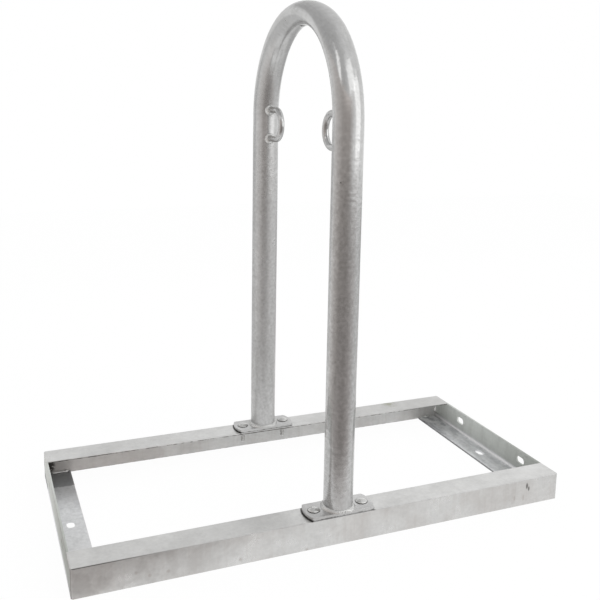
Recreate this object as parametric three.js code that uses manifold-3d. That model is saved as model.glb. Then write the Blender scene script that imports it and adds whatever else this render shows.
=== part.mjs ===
// Hoop bike rack: a galvanised bent-tube hoop bolted across a ground frame of steel angles.
//
// Units are millimetres, +Z is up. X runs along the frame, Y across it, and the front is -Y.
// The origin is on the ground, under the middle of the frame.
// Everything is worked out from the named sizes below.

import * as THREE from 'three';
import { mergeVertices } from 'three/addons/utils/BufferGeometryUtils.js';
import Module from 'manifold-3d';

const wasm = await Module();
wasm.setup();

// Ground frame: two long rails and two end members, all of one rolled equal angle
const FRAME_LENGTH = 900;
const FRAME_WIDTH = 430;
const ANGLE_LEG = 50;
const ANGLE_THICKNESS = 4;
const ANGLE_ROOT_RADIUS = 6;
const ANGLE_TOE_FLAT = 1;
const ANGLE_CORNER_RADIUS = 1;
const FRAME_CORNER_RADIUS = 3;

// Slots: two in each end face, to join frames in a row, and one in each foot, for a ground anchor
const SLOT_LENGTH = 25;
const SLOT_WIDTH = 14;
const LINK_SLOT_SPACING = 215;
const LINK_SLOT_HEIGHT = 30;

// Hoop: one round tube, bent to a half circle at the top
const TUBE_DIAMETER = 50.8;
const TUBE_WALL = 2.9;
const CROWN_HEIGHT = 895;
const CROWN_FLATTENING_SHARE = 0.315;
const VENT_DIAMETER = 12;

// Foot plates, one welded under each leg of the hoop
const PLATE_THICKNESS = 6;
const PLATE_END_BULGE = 6.5;
const PLATE_DRAIN_DIAMETER = 18;
const BOLT_TO_WELD = 4.5;
const BOLT_TO_PLATE_END = 18;

// Coach bolts, M8 with a domed head and a square neck, their washers and nuts
const BOLT_DIAMETER = 8;
const BOLT_LENGTH = 35;
const BOLT_HEAD_DIAMETER = 20.6;
const BOLT_HEAD_HEIGHT = 4.9;
const BOLT_HEAD_RIM = 0.8;
const BOLT_NECK_EXTRA = 0.2;
const BOLT_NECK_SHORTFALL = 1.4;
const BOLT_TIP_CHAMFER = 1;
const BOLT_HOLE_PLAY = 0.5;
const WASHER_DIAMETER = 16;
const WASHER_THICKNESS = 1.6;
const NUT_ACROSS_FLATS = 13;
const NUT_HEIGHT = 6.5;
const NUT_CHAMFER_ANGLE = Math.PI / 6;

// Lock eyes: a round rod bent to a U and welded inside each leg of the hoop
const ROD_DIAMETER = 12;
const EYE_HEIGHT = 68;
const EYE_REACH = 68;
const EYE_BELOW_BEND = 12;

// Weld beads
const FOOT_WELD_LEG = 4.5;
const FOOT_WELD_EDGE = 1.75;
const EYE_WELD_LEG = 4;
const CORNER_WELD_LEG = 5;
const WELD_BULGE_SHARE = 0.6;

// Clearances and cutting overrun
const SEAT_GAP = 0.3;
const CUT_OVERRUN = 2;

// Facets
const TUBE_SIDES = 32;
const BEND_STEPS = 36;
const LEG_STEPS = 1;
const ROD_SIDES = 12;
const EYE_BEND_STEPS = 16;
const HOLE_SIDES = 24;
const ARC_STEPS = 6;

// Sizes that follow from the ones above
const HALF_LENGTH = FRAME_LENGTH / 2;
const HALF_WIDTH = FRAME_WIDTH / 2;
const RAIL_MIDDLE = HALF_WIDTH - ANGLE_LEG / 2;
const TUBE_RADIUS = TUBE_DIAMETER / 2;
const BEND_RADIUS = RAIL_MIDDLE;
const SPRING_HEIGHT = CROWN_HEIGHT - BEND_RADIUS;
const EYE_CENTRE_HEIGHT = SPRING_HEIGHT - EYE_BELOW_BEND;
const ANGLE_TOE_RADIUS = ANGLE_THICKNESS - ANGLE_TOE_FLAT;
const PLATE_BOTTOM = ANGLE_LEG + SEAT_GAP;
const PLATE_TOP = PLATE_BOTTOM + PLATE_THICKNESS;
const PLATE_WIDTH = ANGLE_LEG;
const FOOT_WELD_REACH = TUBE_RADIUS + SEAT_GAP + FOOT_WELD_LEG;
const BOLT_REACH = FOOT_WELD_REACH + BOLT_TO_WELD + BOLT_HEAD_DIAMETER / 2;
const PLATE_REACH = BOLT_REACH + BOLT_TO_PLATE_END;
const BOLT_HOLE_DIAMETER = BOLT_DIAMETER + 2 * BOLT_HOLE_PLAY;
const BOLT_NECK_SIDE = BOLT_DIAMETER + BOLT_NECK_EXTRA;
const BOLT_NECK_DEPTH = PLATE_THICKNESS - BOLT_NECK_SHORTFALL;
const FLANGE_UNDERSIDE = ANGLE_LEG - ANGLE_THICKNESS;
const ROD_RADIUS = ROD_DIAMETER / 2;
const EYE_BEND_RADIUS = EYE_HEIGHT / 2 - ROD_RADIUS;
const NECK_HOLE_SIDE = BOLT_NECK_SIDE + 2 * BOLT_HOLE_PLAY;
const ROOT_HEIGHT = ANGLE_THICKNESS + ANGLE_ROOT_RADIUS;

const GALVANISED = { color: 0xb4b6b6, roughness: 0.42, metalness: 0.9 };
const ZINC_PLATED = { color: 0xbfc2c4, roughness: 0.3, metalness: 0.95 };
const WELD_METAL = { color: 0xc6c8c8, roughness: 0.35, metalness: 0.9 };

const rack = new THREE.Group();

/** How finely an extruded outline's curves are drawn, from the pieces wanted in each curve. */
function curvePieces(pieces) {
  return { bevelEnabled: false, curveSegments: pieces / 2 };
}

/** A turn that carries the X, Y and Z axes onto three given directions. */
function axesTo(x, y, z) {
  return new THREE.Matrix4().makeBasis(
    new THREE.Vector3(...x),
    new THREE.Vector3(...y),
    new THREE.Vector3(...z),
  );
}

/** Turns a closed geometry into a solid that can be cut and joined. */
function solidFrom(geometry) {
  const bare = geometry.clone();
  bare.deleteAttribute('normal');
  bare.deleteAttribute('uv');
  const merged = mergeVertices(bare);
  return new wasm.Manifold(new wasm.Mesh({
    numProp: 3,
    vertProperties: new Float32Array(merged.attributes.position.array),
    triVerts: new Uint32Array(merged.index.array),
  }));
}

/** Turns a solid back into a geometry. */
function geometryFrom(solid) {
  const mesh = solid.getMesh();
  const geometry = new THREE.BufferGeometry();
  geometry.setAttribute('position', new THREE.BufferAttribute(new Float32Array(mesh.vertProperties), 3));
  geometry.setIndex(new THREE.BufferAttribute(new Uint32Array(mesh.triVerts), 1));
  geometry.computeVertexNormals();
  return geometry;
}

/** Adds one named piece to the rack, at a place and turned about Z. */
function addPiece(name, geometry, finish, place = [0, 0, 0], turn = 0) {
  const mesh = new THREE.Mesh(geometry, new THREE.MeshStandardMaterial(finish));
  mesh.name = name;
  mesh.position.set(...place);
  mesh.rotation.z = turn;
  rack.add(mesh);
}

/** A solid cylinder along Z, centred on the origin. */
function rod(radius, length, sides = HOLE_SIDES) {
  const geometry = new THREE.CylinderGeometry(radius, radius, length, sides);
  geometry.rotateX(Math.PI / 2);
  return solidFrom(geometry);
}

/** The outline of a slot with round ends, its length along X, centred on the origin. */
function slotShape(length, width) {
  const radius = width / 2;
  const reach = length / 2 - radius;
  const shape = new THREE.Shape();
  shape.absarc(reach, 0, radius, -Math.PI / 2, Math.PI / 2, false);
  shape.absarc(-reach, 0, radius, Math.PI / 2, Math.PI * 1.5, false);
  return shape;
}

/** A cutter for a slot: its length along Y and its depth along Z, centred on the origin. */
function slotCutter(depth) {
  const geometry = new THREE.ExtrudeGeometry(slotShape(SLOT_LENGTH, SLOT_WIDTH), {
    depth,
    ...curvePieces(HOLE_SIDES / 2),
  });
  geometry.translate(0, 0, -depth / 2);
  geometry.rotateZ(Math.PI / 2);
  return solidFrom(geometry);
}

/**
 * The rolled angle's section. Its outer corner is at the origin and its legs run along +X and +Y.
 * The root is filleted, the toes are rounded on the inside and the outer corner is barely broken.
 */
function angleShape() {
  const leg = ANGLE_LEG;
  const wall = ANGLE_THICKNESS;
  const root = ANGLE_ROOT_RADIUS;
  const toe = ANGLE_TOE_RADIUS;
  const corner = ANGLE_CORNER_RADIUS;
  const shape = new THREE.Shape();
  shape.absarc(corner, corner, corner, Math.PI, Math.PI * 1.5, false);
  shape.lineTo(leg, 0);
  shape.absarc(leg - toe, wall - toe, toe, 0, Math.PI / 2, false);
  shape.absarc(wall + root, wall + root, root, Math.PI * 1.5, Math.PI, true);
  shape.absarc(wall - toe, leg - toe, toe, 0, Math.PI / 2, false);
  shape.lineTo(0, leg);
  shape.closePath();
  return shape;
}

/** A length of angle along Z, starting at the origin. */
function angleBar(length) {
  return new THREE.ExtrudeGeometry(angleShape(), { depth: length, ...curvePieces(ARC_STEPS) });
}

/** An upright block over the frame's plan, with its four upright edges rounded. */
function planBlock() {
  const radius = FRAME_CORNER_RADIUS;
  const x = HALF_LENGTH - radius;
  const y = HALF_WIDTH - radius;
  const shape = new THREE.Shape();
  shape.absarc(x, y, radius, 0, Math.PI / 2, false);
  shape.absarc(-x, y, radius, Math.PI / 2, Math.PI, false);
  shape.absarc(-x, -y, radius, Math.PI, Math.PI * 1.5, false);
  shape.absarc(x, -y, radius, Math.PI * 1.5, Math.PI * 2, false);
  shape.closePath();
  const depth = ANGLE_LEG + 2 * CUT_OVERRUN;
  const block = new THREE.ExtrudeGeometry(shape, { depth, ...curvePieces(ARC_STEPS) });
  block.translate(0, 0, -CUT_OVERRUN);
  return solidFrom(block);
}

/**
 * The front rail: the angle's outer corner is the frame's top front edge, one leg hangs to the
 * ground and the other is the top flange, with two holes for the coach bolts of a foot plate.
 */
function railGeometry() {
  const bar = angleBar(FRAME_LENGTH);
  // the bar turns onto X, with one leg of its section down and the other pointing inwards
  bar.applyMatrix4(axesTo([0, 0, -1], [0, 1, 0], [1, 0, 0]));
  bar.translate(-HALF_LENGTH, -HALF_WIDTH, ANGLE_LEG);
  let rail = solidFrom(bar).intersect(planBlock());
  const depth = ANGLE_THICKNESS + 2 * CUT_OVERRUN;
  const height = ANGLE_LEG - ANGLE_THICKNESS / 2;
  for (const side of [-1, 1]) {
    const hole = rod(BOLT_HOLE_DIAMETER / 2, depth);
    rail = rail.subtract(hole.translate([side * BOLT_REACH, -RAIL_MIDDLE, height]));
  }
  return geometryFrom(rail);
}

/**
 * The outline, seen along X, that trims an end member to fit between the rails: it reaches the
 * top between the flanges, and passes under each flange and its root fillet with a small gap.
 */
function endOutline() {
  const foot = HALF_WIDTH - ANGLE_THICKNESS - SEAT_GAP;
  const floor = -CUT_OVERRUN;
  const top = ANGLE_LEG + CUT_OVERRUN;
  const ceiling = FLANGE_UNDERSIDE - SEAT_GAP;
  const step = HALF_WIDTH - ANGLE_LEG - SEAT_GAP;
  const root = ANGLE_ROOT_RADIUS;
  const shape = new THREE.Shape();
  shape.moveTo(-foot, floor);
  shape.lineTo(foot, floor);
  shape.absarc(foot - root, ceiling - root, root, 0, Math.PI / 2, false);
  shape.lineTo(step, ceiling);
  shape.lineTo(step, top);
  shape.lineTo(-step, top);
  shape.lineTo(-step, ceiling);
  shape.absarc(root - foot, ceiling - root, root, Math.PI / 2, Math.PI, false);
  shape.closePath();
  return shape;
}

/**
 * The right end member: one leg stands at the frame's end and the other lies on the ground,
 * pointing in. It has two link slots in the standing leg and an anchor slot in the foot.
 */
function endGeometry() {
  const bar = angleBar(FRAME_WIDTH);
  // the bar turns onto Y, with one leg of its section pointing in on the ground, the other up
  bar.applyMatrix4(axesTo([-1, 0, 0], [0, 0, 1], [0, 1, 0]));
  bar.translate(HALF_LENGTH, -HALF_WIDTH, 0);
  const span = ANGLE_LEG + 2 * CUT_OVERRUN;
  const outline = new THREE.ExtrudeGeometry(endOutline(), { depth: span, ...curvePieces(ARC_STEPS) });
  // the outline stands across the frame and its depth runs along it
  outline.applyMatrix4(axesTo([0, 1, 0], [0, 0, 1], [1, 0, 0]));
  outline.translate(HALF_LENGTH - ANGLE_LEG - CUT_OVERRUN, 0, 0);
  let end = solidFrom(bar).intersect(solidFrom(outline));

  const depth = ANGLE_THICKNESS + 2 * CUT_OVERRUN;
  const anchor = slotCutter(depth);
  end = end.subtract(anchor.translate([HALF_LENGTH - ANGLE_LEG / 2, 0, ANGLE_THICKNESS / 2]));
  for (const side of [-1, 1]) {
    const link = slotCutter(depth).rotate([0, 90, 0]);
    end = end.subtract(link.translate([
      HALF_LENGTH - ANGLE_THICKNESS / 2,
      side * LINK_SLOT_SPACING / 2,
      LINK_SLOT_HEIGHT,
    ]));
  }
  return geometryFrom(end);
}

/**
 * A U-shaped path in the YZ plane: up one leg, over a half circle and down the other leg.
 * Its stations follow its own parameter, so the straight legs take few steps and the bend many.
 */
class BentPath extends THREE.Curve {
  constructor(legLength, radius, legSteps, bendSteps) {
    super();
    this.legLength = legLength;
    this.radius = radius;
    this.legShare = legSteps / (2 * legSteps + bendSteps);
    this.steps = 2 * legSteps + bendSteps;
  }

  getUtoTmapping(u) {
    return u;
  }

  getPoint(t, target = new THREE.Vector3()) {
    const { legLength, radius, legShare } = this;
    if (t < legShare) {
      return target.set(0, -radius, legLength * t / legShare);
    }
    if (t > 1 - legShare) {
      return target.set(0, radius, legLength * (1 - t) / legShare);
    }
    const angle = Math.PI * (t - legShare) / (1 - 2 * legShare);
    return target.set(0, -radius * Math.cos(angle), legLength + radius * Math.sin(angle));
  }

  getTangent(t, target = new THREE.Vector3()) {
    const bend = (t - this.legShare) / (1 - 2 * this.legShare);
    const angle = Math.PI * THREE.MathUtils.clamp(bend, 0, 1);
    return target.set(0, Math.sin(angle), Math.cos(angle));
  }
}

/** A round bar or tube swept along a path. */
function sweep(path, radius, sides, boreRadius = 0) {
  const shape = new THREE.Shape();
  shape.absarc(0, 0, radius, 0, Math.PI * 2, false);
  if (boreRadius > 0) {
    const bore = new THREE.Path();
    bore.absarc(0, 0, boreRadius, 0, Math.PI * 2, true);
    shape.holes.push(bore);
  }
  return new THREE.ExtrudeGeometry(shape, {
    steps: path.steps,
    extrudePath: path,
    ...curvePieces(sides),
  });
}

/**
 * Flattens the outside of the bend, as cold bending does: a point beyond the bend's centre line
 * moves in by a share of its distance from it, none at the springs and the full share at the top.
 */
function flattenCrown(geometry) {
  const places = geometry.attributes.position;
  for (let i = 0; i < places.count; i += 1) {
    const y = places.getY(i);
    const rise = places.getZ(i) - SPRING_HEIGHT;
    const distance = Math.hypot(y, rise);
    if (rise > 0 && distance > BEND_RADIUS) {
      const lift = (rise / distance) ** 2;
      const kept = 1 - CROWN_FLATTENING_SHARE * lift;
      const reach = (BEND_RADIUS + (distance - BEND_RADIUS) * kept) / distance;
      places.setY(i, y * reach);
      places.setZ(i, SPRING_HEIGHT + rise * reach);
    }
  }
  return geometry;
}

/** The hoop's outside as a full bar, grown by a margin, from a height up to the crown and back. */
function hoopBar(foot, margin) {
  const path = new BentPath(SPRING_HEIGHT - foot, BEND_RADIUS, LEG_STEPS, BEND_STEPS);
  const geometry = sweep(path, TUBE_RADIUS + margin, TUBE_SIDES);
  geometry.translate(0, 0, foot);
  return solidFrom(flattenCrown(geometry));
}

/** The hoop tube, open at both feet, with a vent hole under the crown. */
function hoopGeometry() {
  const foot = PLATE_TOP + SEAT_GAP;
  const path = new BentPath(SPRING_HEIGHT - foot, BEND_RADIUS, LEG_STEPS, BEND_STEPS);
  const geometry = sweep(path, TUBE_RADIUS, TUBE_SIDES, TUBE_RADIUS - TUBE_WALL);
  geometry.translate(0, 0, foot);
  const tube = solidFrom(flattenCrown(geometry));
  const vent = rod(VENT_DIAMETER / 2, TUBE_RADIUS);
  return geometryFrom(tube.subtract(vent.translate([0, 0, CROWN_HEIGHT - TUBE_RADIUS])));
}

/** The foot plate's outline: straight sides and bulging ends, with holes for two coach bolts. */
function plateShape() {
  const edge = PLATE_REACH - PLATE_END_BULGE;
  const half = PLATE_WIDTH / 2;
  const radius = (half ** 2 + PLATE_END_BULGE ** 2) / (2 * PLATE_END_BULGE);
  const centre = PLATE_REACH - radius;
  const sweepAngle = Math.atan2(half, edge - centre);
  const shape = new THREE.Shape();
  shape.absarc(centre, 0, radius, -sweepAngle, sweepAngle, false);
  shape.absarc(-centre, 0, radius, Math.PI - sweepAngle, Math.PI + sweepAngle, false);
  shape.closePath();
  return shape;
}

/** A foot plate, its underside at the origin's height, with square bolt holes and a drain. */
function plateGeometry() {
  const blank = new THREE.ExtrudeGeometry(plateShape(), {
    depth: PLATE_THICKNESS,
    ...curvePieces(2 * ARC_STEPS),
  });
  let plate = solidFrom(blank);
  const depth = PLATE_THICKNESS + 2 * CUT_OVERRUN;
  for (const way of [-1, 1]) {
    const hole = solidFrom(new THREE.BoxGeometry(NECK_HOLE_SIDE, NECK_HOLE_SIDE, depth));
    plate = plate.subtract(hole.translate([way * BOLT_REACH, 0, PLATE_THICKNESS / 2]));
  }
  const drain = rod(PLATE_DRAIN_DIAMETER / 2, depth);
  return geometryFrom(plate.subtract(drain.translate([0, 0, PLATE_THICKNESS / 2])));
}

/**
 * The face of a fillet bead in a square corner, as points from the toe on one wall to the toe on
 * the other. Both walls start at the origin, and the face bulges out a little between its toes.
 */
function beadFace(leg) {
  const points = [];
  for (let step = 0; step <= ARC_STEPS; step += 1) {
    const share = step / ARC_STEPS;
    const bulge = WELD_BULGE_SHARE * share * (1 - share) * leg;
    points.push(new THREE.Vector2(leg * (1 - share) + bulge, leg * share + bulge));
  }
  return points;
}

/** A bead round an upright post, as a closed ring about Y, with a skirt below its seat at zero. */
function ringBead(postRadius, leg, skirt, sides) {
  const inner = postRadius + SEAT_GAP;
  const face = beadFace(leg).map((point) => new THREE.Vector2(inner + point.x, point.y));
  const start = new THREE.Vector2(inner, -skirt);
  const points = [start, new THREE.Vector2(inner + leg, -skirt), ...face, start];
  return new THREE.LatheGeometry(points, sides);
}

/** The bead round a leg's foot, thinned where the plate's long edges leave no room; its seat is at zero. */
function footWeldGeometry() {
  const ring = ringBead(TUBE_RADIUS, FOOT_WELD_LEG, FOOT_WELD_LEG, TUBE_SIDES);
  ring.rotateX(Math.PI / 2);
  const span = 2 * (FOOT_WELD_REACH + CUT_OVERRUN);
  const width = 2 * (TUBE_RADIUS + SEAT_GAP + FOOT_WELD_EDGE);
  const trim = new THREE.BoxGeometry(span, width, span);
  trim.translate(0, 0, span / 2);
  return geometryFrom(solidFrom(ring).intersect(solidFrom(trim)));
}

/** The front lock eye: a U of round rod lying towards +Y, its ends cut to the hoop's round. */
function eyeGeometry(hoop) {
  const tip = EYE_REACH - ROD_RADIUS - EYE_BEND_RADIUS;
  const legLength = tip + TUBE_RADIUS;
  const path = new BentPath(legLength, EYE_BEND_RADIUS, LEG_STEPS, EYE_BEND_STEPS);
  const geometry = sweep(path, ROD_RADIUS, ROD_SIDES);
  // the path's height turns to +Y and its width to -Z, and the ends start at the leg's middle
  geometry.rotateX(-Math.PI / 2);
  geometry.translate(0, -RAIL_MIDDLE, EYE_CENTRE_HEIGHT);
  return geometryFrom(solidFrom(geometry).subtract(hoop));
}

/**
 * A bead round one end of the front lock eye, seated on the hoop's round. Its skirt reaches
 * inside the tube, so that the cut leaves a full seat, also where the bend has begun.
 */
function eyeWeldGeometry(hoop, height) {
  const bead = ringBead(ROD_RADIUS, EYE_WELD_LEG, EYE_WELD_LEG, 2 * ROD_SIDES);
  const rise = Math.max(height - SPRING_HEIGHT, 0);
  const seat = Math.sqrt((BEND_RADIUS - TUBE_RADIUS) ** 2 - rise ** 2);
  bead.translate(0, -seat, height);
  return geometryFrom(solidFrom(bead).subtract(hoop));
}

/** A coach bolt hanging from its head's underside at height zero. */
function boltGeometry() {
  const headRadius = BOLT_HEAD_DIAMETER / 2;
  const shank = BOLT_DIAMETER / 2;
  const rise = BOLT_HEAD_HEIGHT - BOLT_HEAD_RIM;
  const dome = (headRadius ** 2 + rise ** 2) / (2 * rise);
  const spread = Math.asin(headRadius / dome);
  const points = [
    new THREE.Vector2(0, -BOLT_LENGTH),
    new THREE.Vector2(shank - BOLT_TIP_CHAMFER, -BOLT_LENGTH),
    new THREE.Vector2(shank, BOLT_TIP_CHAMFER - BOLT_LENGTH),
    new THREE.Vector2(shank, 0),
    new THREE.Vector2(headRadius, 0),
  ];
  for (let step = 0; step <= ARC_STEPS; step += 1) {
    const angle = spread * (1 - step / ARC_STEPS);
    const height = dome * Math.cos(angle) + BOLT_HEAD_HEIGHT - dome;
    points.push(new THREE.Vector2(dome * Math.sin(angle), height));
  }
  const turned = new THREE.LatheGeometry(points, HOLE_SIDES);
  turned.rotateX(Math.PI / 2);
  // the neck reaches up into the head's rim, so that the two are one body
  const neckSpan = BOLT_NECK_DEPTH + BOLT_HEAD_RIM;
  const neck = new THREE.BoxGeometry(BOLT_NECK_SIDE, BOLT_NECK_SIDE, neckSpan);
  neck.translate(0, 0, BOLT_HEAD_RIM - neckSpan / 2);
  return geometryFrom(solidFrom(turned).add(solidFrom(neck)));
}

/** A flat washer, its top at height zero. */
function washerGeometry() {
  const bore = BOLT_DIAMETER / 2 + SEAT_GAP;
  const rim = WASHER_DIAMETER / 2;
  const points = [
    new THREE.Vector2(bore, -WASHER_THICKNESS),
    new THREE.Vector2(rim, -WASHER_THICKNESS),
    new THREE.Vector2(rim, 0),
    new THREE.Vector2(bore, 0),
    new THREE.Vector2(bore, -WASHER_THICKNESS),
  ];
  const ring = new THREE.LatheGeometry(points, HOLE_SIDES);
  ring.rotateX(Math.PI / 2);
  return ring;
}

/** A hexagon nut, its top at height zero, with its corners turned down at both ends. */
function nutGeometry() {
  const corner = NUT_ACROSS_FLATS / Math.sqrt(3);
  const shape = new THREE.Shape();
  for (let side = 0; side < 6; side += 1) {
    const angle = side * Math.PI / 3;
    shape.lineTo(corner * Math.cos(angle), corner * Math.sin(angle));
  }
  shape.closePath();
  const block = new THREE.ExtrudeGeometry(shape, { depth: NUT_HEIGHT, bevelEnabled: false });
  block.translate(0, 0, -NUT_HEIGHT);
  const flat = NUT_ACROSS_FLATS / 2;
  const drop = (corner - flat) * Math.tan(NUT_CHAMFER_ANGLE);
  // the turned outline is mirrored past the corners, so that it only takes the corners' ends
  const beyond = 2 * corner - flat;
  const turned = new THREE.LatheGeometry([
    new THREE.Vector2(0, -NUT_HEIGHT),
    new THREE.Vector2(flat, -NUT_HEIGHT),
    new THREE.Vector2(beyond, 2 * drop - NUT_HEIGHT),
    new THREE.Vector2(beyond, -2 * drop),
    new THREE.Vector2(flat, 0),
    new THREE.Vector2(0, 0),
  ], HOLE_SIDES);
  turned.rotateX(Math.PI / 2);
  const bore = rod(BOLT_DIAMETER / 2 + SEAT_GAP, NUT_HEIGHT + 2 * CUT_OVERRUN);
  const nut = solidFrom(block).intersect(solidFrom(turned));
  return geometryFrom(nut.subtract(bore.translate([0, 0, -NUT_HEIGHT / 2])));
}

/**
 * A straight bead in a square corner. It starts at a place and runs a length in one direction,
 * and its two walls lie in two more. A fillet is the same both ways, so the walls may change over.
 */
function straightBead(start, wallA, wallB, run, length) {
  const shape = new THREE.Shape();
  shape.moveTo(SEAT_GAP, SEAT_GAP);
  for (const point of beadFace(CORNER_WELD_LEG)) {
    shape.lineTo(SEAT_GAP + point.x, SEAT_GAP + point.y);
  }
  shape.closePath();
  const bead = new THREE.ExtrudeGeometry(shape, { depth: length, bevelEnabled: false });
  let turn = axesTo(wallA, wallB, run);
  if (turn.determinant() < 0) {
    turn = axesTo(wallB, wallA, run);
  }
  bead.applyMatrix4(turn);
  bead.translate(...start);
  return bead;
}

/** The bead that stands in a corner of the frame, between the two fillets of the angles. */
function standingBead(sideX, sideY) {
  const corner = [
    sideX * (HALF_LENGTH - ANGLE_THICKNESS),
    sideY * (HALF_WIDTH - ANGLE_THICKNESS),
    ROOT_HEIGHT,
  ];
  const length = ANGLE_LEG - 2 * ROOT_HEIGHT;
  return straightBead(corner, [-sideX, 0, 0], [0, -sideY, 0], [0, 0, 1], length);
}

/** The bead along the end of an end member's foot, against the rail. */
function lyingBead(sideX, sideY) {
  const corner = [
    sideX * (HALF_LENGTH - ROOT_HEIGHT - CORNER_WELD_LEG),
    sideY * (HALF_WIDTH - ANGLE_THICKNESS),
    ANGLE_THICKNESS,
  ];
  const length = ANGLE_LEG - ANGLE_TOE_RADIUS - ROOT_HEIGHT - CORNER_WELD_LEG;
  return straightBead(corner, [0, -sideY, 0], [0, 0, 1], [-sideX, 0, 0], length);
}

const rail = railGeometry();
const end = endGeometry();
const plate = plateGeometry();
const footWeld = footWeldGeometry();
const hoopSeat = hoopBar(PLATE_TOP, SEAT_GAP);
const eye = eyeGeometry(hoopSeat);
const bolt = boltGeometry();
const washer = washerGeometry();
const nut = nutGeometry();

addPiece('right_end_angle', end, GALVANISED);
addPiece('left_end_angle', end, GALVANISED, [0, 0, 0], Math.PI);
addPiece('hoop_tube', hoopGeometry(), GALVANISED);

const eyeWelds = {
  upper: eyeWeldGeometry(hoopSeat, EYE_CENTRE_HEIGHT + EYE_BEND_RADIUS),
  lower: eyeWeldGeometry(hoopSeat, EYE_CENTRE_HEIGHT - EYE_BEND_RADIUS),
};

for (const [place, way] of [['front', -1], ['rear', 1]]) {
  const turn = way < 0 ? 0 : Math.PI;
  const middle = way * RAIL_MIDDLE;
  addPiece(`${place}_rail`, rail, GALVANISED, [0, 0, 0], turn);
  addPiece(`${place}_foot_plate`, plate, GALVANISED, [0, middle, PLATE_BOTTOM]);
  addPiece(`${place}_foot_weld`, footWeld, WELD_METAL, [0, middle, PLATE_TOP + SEAT_GAP]);
  addPiece(`${place}_lock_eye`, eye, GALVANISED, [0, 0, 0], turn);
  for (const [level, weld] of Object.entries(eyeWelds)) {
    addPiece(`${place}_eye_${level}_weld`, weld, WELD_METAL, [0, 0, 0], turn);
  }
  for (const [hand, side] of [['left', -1], ['right', 1]]) {
    const x = side * BOLT_REACH;
    const washerTop = FLANGE_UNDERSIDE - SEAT_GAP;
    const nutTop = washerTop - WASHER_THICKNESS - SEAT_GAP;
    addPiece(`${place}_${hand}_bolt`, bolt, ZINC_PLATED, [x, middle, PLATE_TOP + SEAT_GAP]);
    addPiece(`${place}_${hand}_washer`, washer, ZINC_PLATED, [x, middle, washerTop]);
    addPiece(`${place}_${hand}_nut`, nut, ZINC_PLATED, [x, middle, nutTop]);
  }
}

for (const [corner, sideX, sideY] of [
  ['front_left', -1, -1],
  ['front_right', 1, -1],
  ['rear_left', -1, 1],
  ['rear_right', 1, 1],
]) {
  addPiece(`${corner}_standing_weld`, standingBead(sideX, sideY), WELD_METAL);
  addPiece(`${corner}_lying_weld`, lyingBead(sideX, sideY), WELD_METAL);
}

export default rack;
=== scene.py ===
# %% [markdown]
# # A galvanised hoop bike rack
#
# The rack is a bent tube on two foot plates, bolted across a ground frame of steel angle. All of
# it was dipped in molten zinc, so one grey metal covers everything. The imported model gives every
# piece its place. This script gives the same pieces finer shapes, their zinc finish and a studio.

import bmesh
import bpy
import numpy as np
from mathutils import Matrix


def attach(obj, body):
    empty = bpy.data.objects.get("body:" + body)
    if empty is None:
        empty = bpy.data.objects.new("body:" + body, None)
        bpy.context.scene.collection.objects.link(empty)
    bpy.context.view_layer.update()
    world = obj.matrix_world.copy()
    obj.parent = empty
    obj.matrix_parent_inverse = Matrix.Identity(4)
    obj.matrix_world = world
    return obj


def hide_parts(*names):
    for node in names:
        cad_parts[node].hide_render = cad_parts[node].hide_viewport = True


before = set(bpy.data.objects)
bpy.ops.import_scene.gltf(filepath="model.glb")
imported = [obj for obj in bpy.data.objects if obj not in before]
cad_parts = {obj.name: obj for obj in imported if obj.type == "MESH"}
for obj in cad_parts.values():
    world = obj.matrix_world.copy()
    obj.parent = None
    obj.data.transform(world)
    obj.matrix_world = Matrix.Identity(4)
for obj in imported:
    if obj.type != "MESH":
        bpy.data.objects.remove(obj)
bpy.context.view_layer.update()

# %% [markdown]
# ## Sizes
#
# Steel drawings are read in millimetres, and Blender works in metres. All shapes below are worked
# out in millimetres, and one factor turns them into metres when they become meshes. X runs along
# the frame, Y runs from its front to its rear, and the ground is at height zero.

# %% Sizes in millimetres
MM = 0.001
FRAME_LENGTH, FRAME_WIDTH = 900.0, 430.0
ANGLE_LEG, ANGLE_WALL = 50.0, 4.0
ROOT_RADIUS, TOE_RADIUS, BACK_RADIUS, PLAN_RADIUS = 6.0, 3.0, 1.0, 5.0
SLOT_LENGTH, SLOT_WIDTH, LINK_SLOT_REACH, LINK_SLOT_HEIGHT = 25.0, 14.0, 107.5, 30.0
TUBE_RADIUS, TUBE_WALL, CROWN_HEIGHT, CROWN_FLATTENING = 25.4, 2.9, 895.0, 0.315
PLATE_REACH, PLATE_THICKNESS, PLATE_BULGE = 63.0, 6.0, 6.5
BOLT_REACH, BOLT_RADIUS, BOLT_LENGTH = 45.0, 4.0, 35.0
ROD_RADIUS, EYE_HEIGHT, EYE_REACH, EYE_BELOW_BEND = 6.0, 68.0, 68.0, 12.0
VENT_RADIUS, DRAIN_RADIUS, BOLT_PLAY = 6.0, 9.0, 0.5
GAP, CUT_DEPTH = 0.3, 20.0

HALF_LENGTH, HALF_WIDTH = FRAME_LENGTH / 2, FRAME_WIDTH / 2
RAIL_MIDDLE = HALF_WIDTH - ANGLE_LEG / 2
SPRING_HEIGHT = CROWN_HEIGHT - RAIL_MIDDLE
PLATE_BOTTOM = ANGLE_LEG + GAP
PLATE_TOP = PLATE_BOTTOM + PLATE_THICKNESS
PLATE_END_RADIUS = ((ANGLE_LEG / 2) ** 2 + PLATE_BULGE**2) / (2 * PLATE_BULGE)
SIDES = {"front": -RAIL_MIDDLE, "rear": RAIL_MIDDLE}
HANDS = {"left": -BOLT_REACH, "right": BOLT_REACH}
X_WAY, Y_WAY, Z_WAY = np.eye(3).tolist()
print("the bend springs at", SPRING_HEIGHT, "mm and the plates' tops are at", PLATE_TOP, "mm")

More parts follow.
